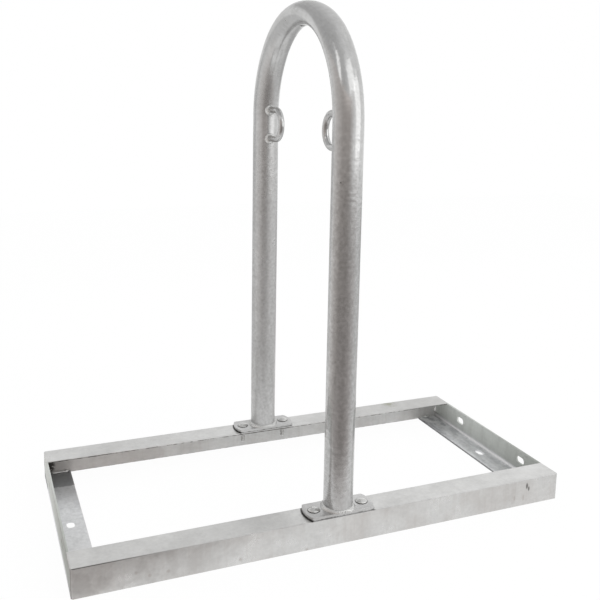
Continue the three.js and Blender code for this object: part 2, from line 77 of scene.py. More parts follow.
# %% [markdown]
# ## From arrays to pieces
#
# Every piece is a grid of points: rows run along the piece and columns run round it. A grid that
# closes in both directions is a ring or a tube with a bore. One that closes only round its
# columns is a bar, and gets a face at each end. Blender could build these with its own
# primitives, but a grid keeps each shape as one formula, and its faces follow the shape.

# %% Grids of points become meshes
SHARP_ANGLE, BEAD_SHARP_ANGLE = 35.0, 60.0


def ring_ways(columns):
    """Unit directions of a ring's columns: cosine and sine of even angles round a full turn."""
    angle = np.arange(columns) * 2 * np.pi / columns
    return np.stack([np.cos(angle), np.sin(angle)], 1)


def stacked(flat, levels):
    """Gives each row of a (rows, columns, 2) array its own third coordinate."""
    third = np.broadcast_to(levels[:, None, None], flat.shape[:2] + (1,))
    return np.concatenate([flat, third], 2)


def grid_faces(rows, columns, rows_close):
    """Four-sided faces of a grid whose columns close round, and whose rows may close as well."""
    number = np.arange(rows * columns).reshape(rows, columns)
    here = number if rows_close else number[:-1]
    ahead = np.roll(number, -1, axis=0)[: len(here)]
    corners = [here, np.roll(here, -1, axis=1), np.roll(ahead, -1, axis=1), ahead]
    return np.stack(corners, -1).reshape(-1, 4)


def mesh_from_grid(name, points, rows_close=False, sharp=SHARP_ANGLE, straight=None):
    """A closed mesh from a (rows, columns, 3) array in millimetres, with its faces outwards.

    Open ends get one face each. Points that meet, as at a pole, are merged. Edges that turn by
    more than the sharp angle stay crisp, and all others are shaded smooth. Each point also keeps
    a place for its pattern, in the attribute "straight": the one that is given, or its own.
    """
    rows, columns = points.shape[:2]
    faces = grid_faces(rows, columns, rows_close).tolist()
    if not rows_close:
        first = np.arange(columns)
        faces += [first[::-1].tolist(), (first + (rows - 1) * columns).tolist()]
    mesh = bpy.data.meshes.new(name)
    mesh.from_pydata((points.reshape(-1, 3) * MM).tolist(), [], faces)
    pattern = mesh.attributes.new("straight", "FLOAT_VECTOR", "POINT")
    pattern.data.foreach_set("vector", (points if straight is None else straight).ravel())
    tidy_mesh(mesh, sharp)
    return mesh


def tidy_mesh(mesh, sharp):
    """Merges doubled points, turns the faces outwards and sets smooth shading with crisp edges."""
    work = bmesh.new()
    work.from_mesh(mesh)
    bmesh.ops.remove_doubles(work, verts=work.verts, dist=0.005 * MM)
    bmesh.ops.dissolve_degenerate(work, edges=work.edges, dist=0.001 * MM)
    bmesh.ops.recalc_face_normals(work, faces=work.faces)
    work.to_mesh(mesh)
    work.free()
    mesh.shade_smooth()
    mesh.set_sharp_from_angle(angle=np.radians(sharp))


def add_object(name, mesh):
    """Puts a mesh into the scene, as an object at the origin."""
    piece = bpy.data.objects.new(name, mesh)
    bpy.context.scene.collection.objects.link(piece)
    return piece


# %% [markdown]
# ## Outlines
#
# A rolled angle, a plate and a slot all start as a flat outline with rounded corners. Each corner
# becomes an arc between two tangent points. A support point just outside each arc keeps the flats
# flat, because smooth shading otherwise spreads the arc's turn over the whole face.

# %% Outlines with rounded corners
def rounded_outline(corners, radii, steps=7, support=0.2):
    """Closed outline through rounded corners.

    Where the direction turns by an angle a, the arc starts r tan(a / 2) before the corner, has its
    centre a radius to the side of the turn, and sweeps through a.
    """
    corners = np.asarray(corners, float)
    radii = np.broadcast_to(radii, len(corners)).astype(float)
    comes = corners - np.roll(corners, 1, axis=0)
    comes /= np.linalg.norm(comes, axis=1, keepdims=True)
    goes = np.roll(comes, -1, axis=0)
    turn = np.arctan2(comes[:, 0] * goes[:, 1] - comes[:, 1] * goes[:, 0], (comes * goes).sum(1))
    reach = radii * np.tan(abs(turn) / 2)
    side = np.sign(turn)[:, None] * np.stack([-comes[:, 1], comes[:, 0]], 1)
    centre = corners - comes * reach[:, None] + side * radii[:, None]
    first = np.arctan2(-side[:, 1], -side[:, 0])
    angle = first[:, None] + turn[:, None] * np.linspace(0, 1, steps)
    arc = centre[:, None] + radii[:, None, None] * np.stack([np.cos(angle), np.sin(angle)], 2)
    before = (corners - comes * (reach + support)[:, None])[:, None]
    after = (corners + goes * (reach + support)[:, None])[:, None]
    return np.concatenate([before, arc, after], 1).reshape(-1, 2)


def outline_normals(outline):
    """Outward unit normals of an anticlockwise outline: its tangent turned a quarter clockwise."""
    along = np.roll(outline, -1, axis=0) - np.roll(outline, 1, axis=0)
    along /= np.linalg.norm(along, axis=1, keepdims=True)
    return np.stack([along[:, 1], -along[:, 0]], 1)


def slot_outline(length, width, steps=16):
    """A slot's outline: two half circles, a straight stretch apart along the first axis."""
    angle = np.linspace(-np.pi / 2, np.pi / 2, steps)
    half = np.stack([np.cos(angle), np.sin(angle)], 1) * width / 2
    reach = np.array([length / 2 - width / 2, 0.0])
    return np.concatenate([half + reach, -half - reach])


def circle(radius, steps=32):
    """A circle's outline, anticlockwise."""
    return radius * ring_ways(steps)


# %% [markdown]
# ## Holes
#
# Holes and slots are punched after rolling, so here too they are cut from the finished shape.
# A cutter is a prism on the hole's outline, and a Boolean modifier takes it away. All the cutters
# of a piece are one mesh, so that Blender works out the cut only once.

# %% Cutting holes
def prism(outline, place, ways=(X_WAY, Y_WAY, Z_WAY), depth=CUT_DEPTH):
    """Points of a prism: its outline lies along the first two ways and its depth along the third."""
    across, up, through = np.asarray(ways, float)
    flat = outline[:, :1] * across + outline[:, 1:] * up
    ends = np.array([-0.5, 0.5])[:, None, None] * depth * through
    return np.asarray(place, float) + flat[None] + ends


def cut_holes(piece, prisms):
    """Takes prisms away from a piece and keeps the result as its own mesh."""
    cutters = bmesh.new()
    for number, points in enumerate(prisms):
        mesh = mesh_from_grid(f"cutter_{number}", points)
        cutters.from_mesh(mesh)
        bpy.data.meshes.remove(mesh)
    cutter_mesh = bpy.data.meshes.new("cutters")
    cutters.to_mesh(cutter_mesh)
    cutters.free()
    cutter = add_object("cutters", cutter_mesh)
    modifier = piece.modifiers.new("holes", "BOOLEAN")
    modifier.operation = "DIFFERENCE"
    modifier.solver = "EXACT"
    modifier.object = cutter
    evaluated = piece.evaluated_get(bpy.context.evaluated_depsgraph_get())
    cut_mesh = bpy.data.meshes.new_from_object(evaluated)
    piece.modifiers.clear()
    piece.data = cut_mesh
    bpy.data.objects.remove(cutter)
    tidy_mesh(cut_mesh, SHARP_ANGLE)


# %% [markdown]
# ## The camera
#
# The photo's camera stands to the left of the front, a little above the frame and well below the
# crown. Its place, its turn and its focal length were solved from the frame's corners and the
# hoop's outline. The picture was cropped a little off centre, which is a small shift here.

# %% Camera
CAMERA_PLACE = np.array([-559.3, -1342.5, 745.0])
CAMERA_RIGHT = np.array([0.92743, -0.37366, 0.01614])
CAMERA_DOWN = np.array([-0.05076, -0.16853, -0.98439])
CAMERA_AHEAD = np.array([0.37054, 0.91213, -0.17526])
FOCAL_PIXELS, CENTRE_PIXELS, IMAGE_PIXELS = 802.35, np.array([292.99, 240.60]), 600.0

camera_data = bpy.data.cameras.new("camera")
camera_data.sensor_width = 36.0
camera_data.lens = FOCAL_PIXELS / IMAGE_PIXELS * camera_data.sensor_width
camera_data.shift_x = 0.5 - CENTRE_PIXELS[0] / IMAGE_PIXELS
camera_data.shift_y = CENTRE_PIXELS[1] / IMAGE_PIXELS - 0.5
camera = add_object("camera", camera_data)
turn = Matrix(np.stack([CAMERA_RIGHT, -CAMERA_DOWN, -CAMERA_AHEAD], 1).tolist())
camera.matrix_world = Matrix.Translation((CAMERA_PLACE * MM).tolist()) @ turn.to_4x4()
bpy.context.scene.camera = camera
print("lens", round(camera_data.lens, 2), "mm, shift", camera_data.shift_x, camera_data.shift_y)

# %% [markdown]
# ## Shader maths as arithmetic
#
# A procedural finish is mostly arithmetic on patterns. A small class wraps one socket of a node,
# and its operators add the Math nodes, so that a formula can be read as one. Every other node
# comes from a single method that takes the node's type, its settings and its inputs.

# %% Sockets with operators
class Signal:
    """One output socket of a shader node. Arithmetic on it adds Math nodes."""

    def __init__(self, finish, socket):
        self.finish = finish
        self.socket = socket

    def math(self, operation, *others, clamp=False):
        settings = {"operation": operation, "use_clamp": clamp}
        values = dict(enumerate((self,) + others))
        return self.finish.node("ShaderNodeMath", settings, values)["Value"]

    def __add__(self, other):
        return self.math("ADD", other)

    def __sub__(self, other):
        return self.math("SUBTRACT", other)

    def __mul__(self, other):
        return self.math("MULTIPLY", other)

    def __neg__(self):
        return self * -1

    def __rsub__(self, other):
        return -self + other

    __radd__ = __add__
    __rmul__ = __mul__

    def __abs__(self):
        return self.math("ABSOLUTE")

    def clamp(self):
        """The value held between 0 and 1."""
        return self.math("ADD", 0.0, clamp=True)

    def near(self, level, reach):
        """1 at a level, and 0 once the value is this far above or below it."""
        return abs(self - level).fall(reach * 0.4, reach)

    def rise(self, start, end):
        """A smooth step: 0 below start, 1 above end, and an S-shaped ramp between them."""
        ranges = {"Value": self, "From Min": start, "From Max": end}
        settings = {"interpolation_type": "SMOOTHSTEP"}
        return self.finish.node("ShaderNodeMapRange", settings, ranges)["Result"]

    def fall(self, start, end):
        """The same step downwards: 1 below start and 0 above end."""
        return 1 - self.rise(start, end)


class Finish:
    """The node tree of a new material or of the world, under construction."""

    def __init__(self, owner):
        owner.use_nodes = True
        self.tree = owner.node_tree
        self.tree.nodes.clear()

    def node(self, kind, settings=None, values=None):
        """Adds a node and fills or links its inputs. Gives its outputs, by number and by name."""
        node = self.tree.nodes.new(kind)
        for key, value in (settings or {}).items():
            setattr(node, key, value)
        for key, value in (values or {}).items():
            if isinstance(value, Signal):
                self.tree.links.new(value.socket, node.inputs[key])
            else:
                node.inputs[key].default_value = value
        outputs = [Signal(self, socket) for socket in node.outputs]
        return dict(enumerate(outputs)) | {output.socket.name: output for output in outputs}

    def mix(self, low, high, factor):
        """Goes from one colour to another as the factor goes from 0 to 1."""
        low, high = (c if isinstance(c, Signal) else (*c, 1.0) for c in (low, high))
        settings = {"data_type": "RGBA"}
        return self.node("ShaderNodeMix", settings, {0: factor, 6: low, 7: high})[2]

    def scaled(self, place, factors):
        """Stretches or squeezes a place along each axis."""
        settings = {"vector_type": "POINT"}
        return self.node("ShaderNodeMapping", settings, {"Vector": place, "Scale": factors})[0]

    def millimetres(self):
        """The place on the piece, in millimetres."""
        return self.scaled(self.node("ShaderNodeTexCoord")["Object"], (1 / MM, 1 / MM, 1 / MM))

    def vector(self, operation, first, second=(0.0, 0.0, 0.0), result="Value"):
        """An operation on two places or directions, whose result is a number or a vector."""
        values = {0: first, 1: second}
        return self.node("ShaderNodeVectorMath", {"operation": operation}, values)[result]

    def dot(self, place, way):
        """How far a place or a direction reaches along a given way."""
        return self.vector("DOT_PRODUCT", place, way)

    def distance(self, place, point):
        """How far a place is from a point."""
        return self.vector("DISTANCE", place, point)

    def noise(self, place, size, factors=None, detail=2.0):
        """Cloudy noise about 0.5, with clouds of this many millimetres, which factors stretch."""
        place = self.scaled(place, factors) if factors else place
        values = {"Vector": place, "Scale": 1 / size, "Detail": detail, "Roughness": 0.55}
        return self.node("ShaderNodeTexNoise", {}, values)[0]

    def from_above(self, x, y, point):
        """How far a place is from a point in the plan, when both are seen from above."""
        plan = self.node("ShaderNodeCombineXYZ", {}, {0: x, 1: y, 2: 0.0})[0]
        return self.distance(plan, (*point, 0.0))

    def spot(self, place, point, radius):
        """A soft dot: 1 at its point and 0 from its radius on."""
        return self.distance(place, point).fall(radius * 0.35, radius)

    def spots(self, place, dots):
        """The sum of soft dots, each given by its three coordinates and its radius."""
        return sum(self.spot(place, dot[:3], dot[3]) for dot in dots)


# %% [markdown]
# ## The zinc finish
#
# Hot-dip galvanising leaves a satin grey metal. From close by it shows soft clouds where the zinc
# ran, a mottle of crystals a few millimetres wide, and small dark pits of dross. Zinc dulls to a
# thin grey patina, so the surface is mostly metal with a little matt grey in it. Its brightness
# comes from what it reflects, so the clouds work on roughness as well as on colour.

# %% Galvanised steel
ZINC_LIGHT, ZINC_DARK = (0.64, 0.64, 0.638), (0.47, 0.468, 0.462)
ZINC_WARM, ZINC_GREEN = (0.50, 0.465, 0.44), (0.46, 0.47, 0.33)
# Nearly black: real drips, pits and slag, and painted shade in crevices, corners and along edges.
SOOT_AND_SHADE = (0.05, 0.046, 0.042)
BEND_FADE = (600.0, 740.0)


def galvanised(
    name,
    marks_light_and_shade,
    dulled=None,
    light=ZINC_LIGHT,
    dark=ZINC_DARK,
    rough=0.30,
    metal=0.9,
    ripple=0.35,
    grain=0.65,
    along=None,
):
    """A zinc finish. Marks, painted light and painted shade come as a list of pairs: a mask and the
    colour that shows through it.

    Its clouds lie on the piece's own place, or on a named attribute of it. A piece with such an
    attribute also has rings across it and streaks along it, and its crystals are fainter on the
    bend. Where the dulled mask is 1, the metal has turned to matt grey patina.
    """
    material = bpy.data.materials.new(name)
    finish = Finish(material)
    place = finish.millimetres()
    settings = {"attribute_name": along or "", "attribute_type": "GEOMETRY"}
    grown = finish.node("ShaderNodeAttribute", settings)["Vector"] if along else place

    clouds = finish.noise(grown, 70.0)
    mottle = finish.noise(grown, 16.0, (1.0, 1.0, 1.6))
    crystals = finish.noise(grown, 6.0)
    if along:
        bend = finish.dot(place, Z_WAY).rise(*BEND_FADE)
        crystals = crystals - (crystals - 0.5) * bend * 0.6
    tone = (clouds - 0.5) * 0.9 + (mottle - 0.5) * 0.5 + (crystals - 0.5) * grain
    height = mottle + crystals * 0.3
    if along:
        rings = finish.noise(grown, 4.5, (0.2, 0.2, 1.0))
        streaks = finish.noise(grown, 6.0, (1.0, 1.0, 0.09))
        tone = tone + (rings - 0.5) * 0.3 + (streaks - 0.5) * 0.5
        height = height + rings * 0.22
    colour = finish.mix(dark, light, (tone + 0.5).clamp())
    rougher = (0.5 - clouds) * 0.22 + (0.5 - mottle) * 0.12
    for mask, mark in marks_light_and_shade(finish, place):
        colour = finish.mix(colour, mark, mask)
        rougher = mask * 0.25 + rougher
    shine = metal
    if dulled:
        mask = dulled(finish, place)
        rougher = mask * 0.16 + rougher
        shine = metal - mask * 0.4
    bump = {"Strength": 1.0, "Distance": ripple * MM, "Height": height}
    values = {
        "Base Color": colour,
        "Metallic": shine,
        "Roughness": (rougher + rough).clamp(),
        "Normal": finish.node("ShaderNodeBump", {}, bump)["Normal"],
    }
    surface = finish.node("ShaderNodeBsdfPrincipled", {}, values)["BSDF"]
    finish.node("ShaderNodeOutputMaterial", {}, {"Surface": surface})
    return material


def axes(finish, place):
    """The three coordinates of a place, each as a signal of its own."""
    return [finish.dot(place, way) for way in (X_WAY, Y_WAY, Z_WAY)]


# %% [markdown]
# ## Marks, painted shade and painted light
#
# Where two pieces meet, round the plates, under the bolt heads and in the frame's corners, shade is
# painted into the colour: there the metal is nearly black, and that thin line is what makes the
# pieces read as separate. Painted shade also darkens some faces, edges and toes, and a painted
# highlight lies along one root. Other marks are chance ones, like a drip or a pit. Each mark is a
# mask made from distances, so it stays in its place on the steel.
#
# The numbers in the masks are millimetres on the rack. The flanges' tops are at z 50 and the
# tops of the lying legs at 4. The rails' faces are at y 215 and 211, their flanges' toes at 165,
# and the end members' faces at x 450 and 446. A rise or a fall between two such numbers keeps a
# mark on one face.

# %% Marks and painted shade on the frame
DRIPS = ((379.0, -HALF_WIDTH, 15.0, 3.2), (383.5, -HALF_WIDTH, 12.6, 2.6))
PALE_DRIPS = ((372.0, -HALF_WIDTH, 6.0, 3.4), (352.0, -HALF_WIDTH, 7.0, 3.0))
PALE_PLACES = ((-302.0, 15.0), (-331.0, 14.0), (-352.0, 23.0), (-184.0, 9.0), (-67.0, 2.0))
PALE_SPOTS = [(at, -HALF_WIDTH, level, 4.0) for at, level in PALE_PLACES]


def frame_marks_and_shade(finish, place):
    """Marks and painted shade on the rails.

    Painted shade, nearly black: round the plates' ends and under them, along the flanges' toes and
    the feet, on the front rail's upper edge, in the seam of its left end and in the rear left
    corner. Painted shade also darkens the front face's left part, and the rear flange's top towards
    the right. The rest is warm metal on the upright faces, inward faces that are darker and warmer
    towards the left, drips and spots on the front face, and a green stain on the rear flange.
    """
    x, y, z = axes(finish, place)
    out, side = abs(x), abs(y)
    patches = finish.noise(place, 9.0, detail=3.0).rise(0.42, 0.60)
    broad = finish.noise(place, 110.0).rise(0.40, 0.66)
    upright = z.fall(48.0, 49.4)
    runs = finish.noise(place, 8.0, (1.0, 1.0, 0.12)).rise(0.48, 0.66)
    left_end = x.fall(-430.0, -250.0)
    left_hand = x.fall(-1.0, 1.0)

    # Painted shadow round each plate's end, stronger at the left, and painted shade on the heel
    # below it.
    end_centre = PLATE_REACH - PLATE_END_RADIUS
    from_end = finish.from_above(out, side, (end_centre, RAIL_MIDDLE))
    crescent = from_end.near(PLATE_END_RADIUS + 0.9, 1.7) * out.rise(55.0, 57.0)
    crescent = crescent * z.rise(49.0, 49.6)
    heel = out.fall(59.0, 64.0) * z.rise(49.2, 49.7) * side.rise(213.0, 213.8)

    # Painted shade along the flanges' toes, and along the bottom of the rails' inner faces.
    inner_toe = side.fall(168.0, 169.5) * side.rise(160.0, 164.0)
    toe = z.fall(47.9, 49.0) * z.rise(43.0, 44.5) * inner_toe
    foot = z.fall(0.8, 2.6) * side.fall(211.6, 212.4) * side.rise(200.0, 205.0)
    # Painted shade along the front rail's upper edge, strongest at the left end.
    edge = z.near(49.4, 0.9) * side.near(HALF_WIDTH - 0.4, 0.9) * (left_end * 0.7 + 0.12)
    # Painted shade in the seam of the front rail's left end, by the left end members and in the rear
    # left corner.
    seam = x.fall(-449.6, -448.4) * y.fall(-213.5, -210.0)
    wall = out.near(444.0, 3.6) * z.fall(45.0, 46.0) * side.fall(211.5, 212.5) * left_end
    corner = finish.spot(finish.scaled(place, (1.0, 1.0, 0.6)), (-438.5, 211.0, 11.0), 11.5)
    corner = corner * y.fall(211.5, 212.5)
    bare = finish.noise(place, 6.0).rise(0.34, 0.46)
    # Painted shade under the plates' edges along the toes, more at the left.
    under_plate = out.fall(PLATE_REACH - 4.0, PLATE_REACH) * left_hand.math("MAXIMUM", 0.75)
    blotch = finish.noise(place, 30.0, detail=3.0).rise(0.42, 0.60)
    # Painted shade on the front face's left part, most in a band below its upper edge.
    front = y.fall(-214.0, -212.0)
    near_left = front * x.fall(-400.0, -150.0) * upright
    under_edge = near_left * z.rise(34.0, 46.0)
    top_side = z.rise(48.6, 49.4)
    # Painted shade: the rear flange's top is darker towards the right.
    rear_top = y.rise(160.0, 164.0) * top_side
    inner = side.fall(212.0, 213.0) * (1 - top_side)

    tall = finish.scaled(place, (1.0, 1.0, 0.4))
    drip = finish.spots(tall, DRIPS)
    faint = finish.spots(tall, PALE_DRIPS) + finish.spots(place, PALE_SPOTS)
    wide = finish.scaled(place, (1.0, 0.8, 1.0))
    green = finish.spot(wide, (317.0, 168.0, 50.0), 22.0) * z.rise(48.0, 49.0) * patches
    return [
        (inner * x.fall(-400.0, -60.0) * 0.45, (0.52, 0.465, 0.44)),
        ((broad * 0.3 + runs * 0.12) * upright, ZINC_WARM),
        (green * 0.8, ZINC_GREEN),
        ((faint * 0.5).clamp(), ZINC_WARM),
        ((near_left * blotch * 0.35 + under_edge * blotch * 0.25).clamp(), (0.40, 0.385, 0.37)),
        (rear_top * x.rise(-60.0, 300.0) * 0.35, (0.52, 0.515, 0.505)),
        ((drip * 0.7 + edge + toe * (patches * 0.55 + left_end * 0.35 + 0.2)).clamp(), SOOT_AND_SHADE),
        ((toe * under_plate).clamp(), SOOT_AND_SHADE),
        ((crescent * (left_hand * 0.6 + 0.25) + heel * 0.5 + foot * patches * 0.75).clamp(), SOOT_AND_SHADE),
        (((wall * patches + corner * bare) * 0.92 + seam * 0.5).clamp(), SOOT_AND_SHADE),
    ]


def rail_haze(finish, place):
    """Matt zinc on the faces that look inwards, and some of it on the top."""
    _, y, z = axes(finish, place)
    inner = abs(y).fall(212.0, 213.0) * z.fall(46.0, 46.6)
    return inner + z.rise(48.6, 49.4) * 0.3


def end_marks_light_and_shade(finish, place):
    """Marks, painted light and painted shade on the end members.

    Their upright legs are greenish, and darker towards the front. Each foot has its own blotches,
    and the right one has smears. A painted highlight lies along the right member's root, and the
    left foot is a plainer grey towards the front. Painted shade darkens the feet under the left
    flanges, the right foot's toe, the roots near the corners and the rear left corner.
    """
    x, y, z = axes(finish, place)
    patches = finish.noise(place, 9.0, detail=3.0).rise(0.42, 0.60)
    left_hand = x.fall(-1.0, 1.0)
    right_hand = 1 - left_hand
    # Painted shadow on the left feet under the flanges.
    under = (y + patches * 2.0).rise(145.0, 149.0) * left_hand * z.fall(8.0, 12.0)
    wall = z.rise(9.0, 12.0)
    # Painted shade in the roots near the corners, and in the rear left corner.
    root = abs(x).rise(438.0, 441.0) * z.fall(11.0, 14.0) * abs(y).rise(150.0, 205.0)
    corner = finish.spot(place, (-444.0, 211.0, 28.0), 15.0)
    # Painted highlight along the right member's root.
    root_highlight = abs(x).near(444.7, 1.9) * z.near(6.5, 2.4) * right_hand
    right_foot = right_hand * z.fall(5.0, 6.5)
    left_foot = left_hand * z.fall(5.0, 6.5)
    blotches = finish.noise(place, 16.0, (1.0, 0.5, 1.0), 3.0).rise(0.44, 0.58)
    smears = finish.noise(place, 7.0, (1.0, 0.14, 1.0)).rise(0.5, 0.62)
    streaks = finish.noise(place, 14.0, (1.0, 1.0, 0.3)).rise(0.48, 0.66)
    # Painted shade along the right foot's toe.
    toe = abs(x).fall(401.0, 403.0) * z.fall(2.4, 3.6) * right_hand
    return [
        (wall * 0.7, (0.68, 0.71, 0.665)),
        (wall * y.fall(-170.0, 80.0) * 0.6, (0.44, 0.46, 0.43)),
        (right_foot * blotches * (y.rise(20.0, 190.0) * 0.4 + 0.18), (0.30, 0.31, 0.33)),
        (right_foot * smears * 0.3, (0.97, 0.98, 1.0)),
        (wall * streaks * right_hand * 0.12, (0.36, 0.37, 0.35)),
        (left_foot * y.fall(-215.0, 60.0) * 0.6, (0.68, 0.675, 0.67)),
        (left_foot * y.rise(-60.0, 60.0) * blotches * 0.15, (0.45, 0.46, 0.48)),
        (root_highlight * 0.95, (1.0, 1.0, 1.0)),
        (toe * 0.7, (0.12, 0.12, 0.12)),
        (under * 0.72, (0.17, 0.175, 0.18)),
        (root * 0.3, SOOT_AND_SHADE),
        (corner * 0.9, SOOT_AND_SHADE),
    ]


# %% Marks and painted shade on the plates, bolts, beads and tube
def plate_shade(finish, place):
    """Painted shade low on the plate's side, most at its ends, and round the bolts' heads."""
    x, y, z = axes(finish, place)
    low = z.fall(PLATE_BOTTOM + 1.0, PLATE_BOTTOM + 3.4)
    ends = abs(x).rise(54.0, 57.0)
    patches = finish.noise(place, 8.0).rise(0.42, 0.58)
    bolts = finish.from_above(abs(x), abs(y), (BOLT_REACH, RAIL_MIDDLE)).near(10.6, 1.3)
    side = low * (ends * 0.55 + patches * 0.4 + 0.25)
    return [((side + bolts * 0.5).clamp(), SOOT_AND_SHADE)]


def fastener_shade(finish, place):
    """Painted shade in the crevice under each bolt's head."""
    rim = finish.dot(place, Z_WAY).near(PLATE_TOP + GAP, 0.9)
    return [(rim * 0.9, SOOT_AND_SHADE)]


def bead_specks_and_shade(finish, place):
    """Specks of slag in the beads, and painted shade over most of the bead in the rear left corner.
    """
    specks = finish.noise(place, 2.6).rise(0.60, 0.68)
    corner = finish.spot(finish.scaled(place, (1.0, 1.0, 0.5)), (-443.0, 208.0, 15.0), 14.0)
    bare = finish.noise(place, 5.0).rise(0.42, 0.52)
    return [((specks * 0.5 + corner * bare).clamp(), SOOT_AND_SHADE)]


PITS = (
    (-5.3, -213, 767, 2.0), (-5.1, -213, 761, 1.7), (-4.9, -213, 754, 2.2),
    (-1.2, -214, 748, 1.3), (-22.7, -198, 838, 1.5), (-17.7, -206, 615, 3.0),
    (-14.0, -209, 427, 1.4), (-13.0, -210, 223, 1.3), (-24.0, 187, 608, 1.7),
    (-24.1, 189, 640, 1.5), (4.6, 166, 627, 1.8), (0.4, 166, 621, 1.4),
)


def tube_marks(finish, place):
    """Pits at known places, sparse small ones all over, and a dark ring round the vent."""
    cells = finish.node("ShaderNodeTexVoronoi", {}, {"Vector": place, "Scale": 1 / 26.0})
    lucky = finish.node("ShaderNodeSeparateColor", {}, {"Color": cells["Color"]})[1]
    pits = cells["Distance"].fall(0.02, 0.05) * lucky.rise(0.80, 0.82)
    pits = pits + finish.spots(place, PITS)
    vent = finish.spot(place, (0, 0, CROWN_HEIGHT - TUBE_RADIUS), VENT_RADIUS + 3.5)
    return [((pits * 0.75 + vent * 0.8).clamp(), SOOT_AND_SHADE)]


def tube_haze(finish, place):
    """Matt zinc near both feet, where welding burnt it, and on the rear leg, most at its foot."""
    _, y, z = axes(finish, place)
    burnt = z.fall(60.0, 190.0) * 0.5
    rear = y.rise(-60.0, 130.0) * (0.9 - z.rise(220.0, 750.0) * 0.65)
    return (burnt + rear + 0.1).clamp()


RAIL = {"light": (0.76, 0.76, 0.75), "dark": (0.56, 0.558, 0.55)}
DULL = {"light": (0.87, 0.88, 0.892), "dark": (0.64, 0.647, 0.655)}
BRIGHT = {"light": (0.74, 0.74, 0.73), "dark": (0.54, 0.54, 0.53)}
rail_zinc = galvanised("zinc_on_rails", frame_marks_and_shade, rail_haze, rough=0.29, **RAIL)
end_zinc = galvanised("zinc_on_end_members", end_marks_light_and_shade, rough=0.36, metal=0.62, grain=1.5, **DULL)
tube_zinc = galvanised(
    "zinc_on_tube",
    tube_marks,
    tube_haze,
    rough=0.19,
    metal=0.95,
    ripple=0.32,
    grain=1.9,
    along="straight",
)
plate_zinc = galvanised("zinc_on_plates", plate_shade, rough=0.32, metal=0.8)
eye_zinc = galvanised("zinc_on_eyes", bead_specks_and_shade, rough=0.19, metal=1.0, ripple=0.45)
weld_zinc = galvanised("zinc_on_beads", bead_specks_and_shade, rough=0.30, **BRIGHT)
fastener_zinc = galvanised("zinc_on_fasteners", fastener_shade, rough=0.27, **BRIGHT)


def make_piece(name, node, points, material, slot="galvanised_steel", holes=(), **grid):
    """Builds a piece, cuts its holes and names its material, its body and its node.

    Its slot is not used.
    """
    piece = add_object(name, mesh_from_grid(name.rpartition("_")[0], points, **grid))
    if holes:
        cut_holes(piece, holes)
    piece.data.materials.clear()
    piece.data.materials.append(material)
    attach(piece, "root")
    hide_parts(node)
    print(piece.name, len(piece.data.polygons), "faces")


def carried(points, stays):
    """Points that stay, or that half a turn about Z carries to the other side of the rack."""
    return points if stays else points * np.array([-1.0, -1.0, 1.0])


# %% [markdown]
# ## The rails
#
# A rail is hot-rolled equal angle: two legs of the same width, a filleted root between them and
# rounded toes. It is sawn to length, welded and ground, and the dip leaves a soft edge. So the
# section is one outline, carried along the bar, and it draws in by a quarter circle at both ends.

# %% Angle section and bars
EDGE_ROUND = 0.5


def angle_section():
    """The angle's outline: its outer corner is at the origin and its legs lie on the two axes."""
    leg, wall = ANGLE_LEG, ANGLE_WALL
    corners = [(0, 0), (leg, 0), (leg, wall), (wall, wall), (wall, leg), (0, leg)]
    radii = [BACK_RADIUS, EDGE_ROUND, TOE_RADIUS, ROOT_RADIUS, TOE_RADIUS, EDGE_ROUND]
    return rounded_outline(corners, radii)


def round_off(stations, half, radius):
    """How far an arc draws a bar in near its ends: r - sqrt(r^2 - past^2), past the arc's start."""
    past = np.clip(abs(stations) - (half - radius), 0, radius)
    return radius - np.sqrt(radius**2 - past**2)


def bar(section, stations, half):
    """A section on stations along a bar: point = section point - normal * inset, then station."""
    inset = round_off(stations, half, EDGE_ROUND)
    flat = section[None] - outline_normals(section)[None] * inset[:, None, None]
    return stacked(flat, stations)


def bar_stations(half, crowded, middle_rows=41):
    """Stations along a bar, even in the middle and crowded over a length at both ends."""
    turn = np.linspace(0, np.pi / 2, 5)
    last = half - EDGE_ROUND * (1 - np.sin(turn))
    near = np.linspace(half - crowded, last[0], 6)[:-1]
    end = np.concatenate([near, last])
    middle = np.linspace(-end[0], end[0], middle_rows)[1:-1]
    return np.concatenate([-end[::-1], middle, end])


# %% Rails
DROOP_DEPTH, DROOP_WAVE, LIFT_HEIGHT, LIFT_WAVE = 0.55, 19.0, 0.9, 16.0
DROOP_START, DROOP_END, LIFT_START, SKIN = (43.0, 47.0), (392.0, 384.0), (44.0, 48.0), (2.0, 3.5)


def ramp(value, start, end):
    """0 before the start, 1 past the end, and an even climb between them."""
    return np.clip((value - start) / (end - start), 0, 1)


def waves(along, shortest, phase):
    """Gentle unevenness along a bar, between -1 and 1: four sines, each longer than the last."""
    lengths = enumerate(shortest * np.array([1.0, 1.7, 3.1, 5.3]), 1)
    return np.mean([np.sin(2 * np.pi * along / length + phase * k) for k, length in lengths], 0)


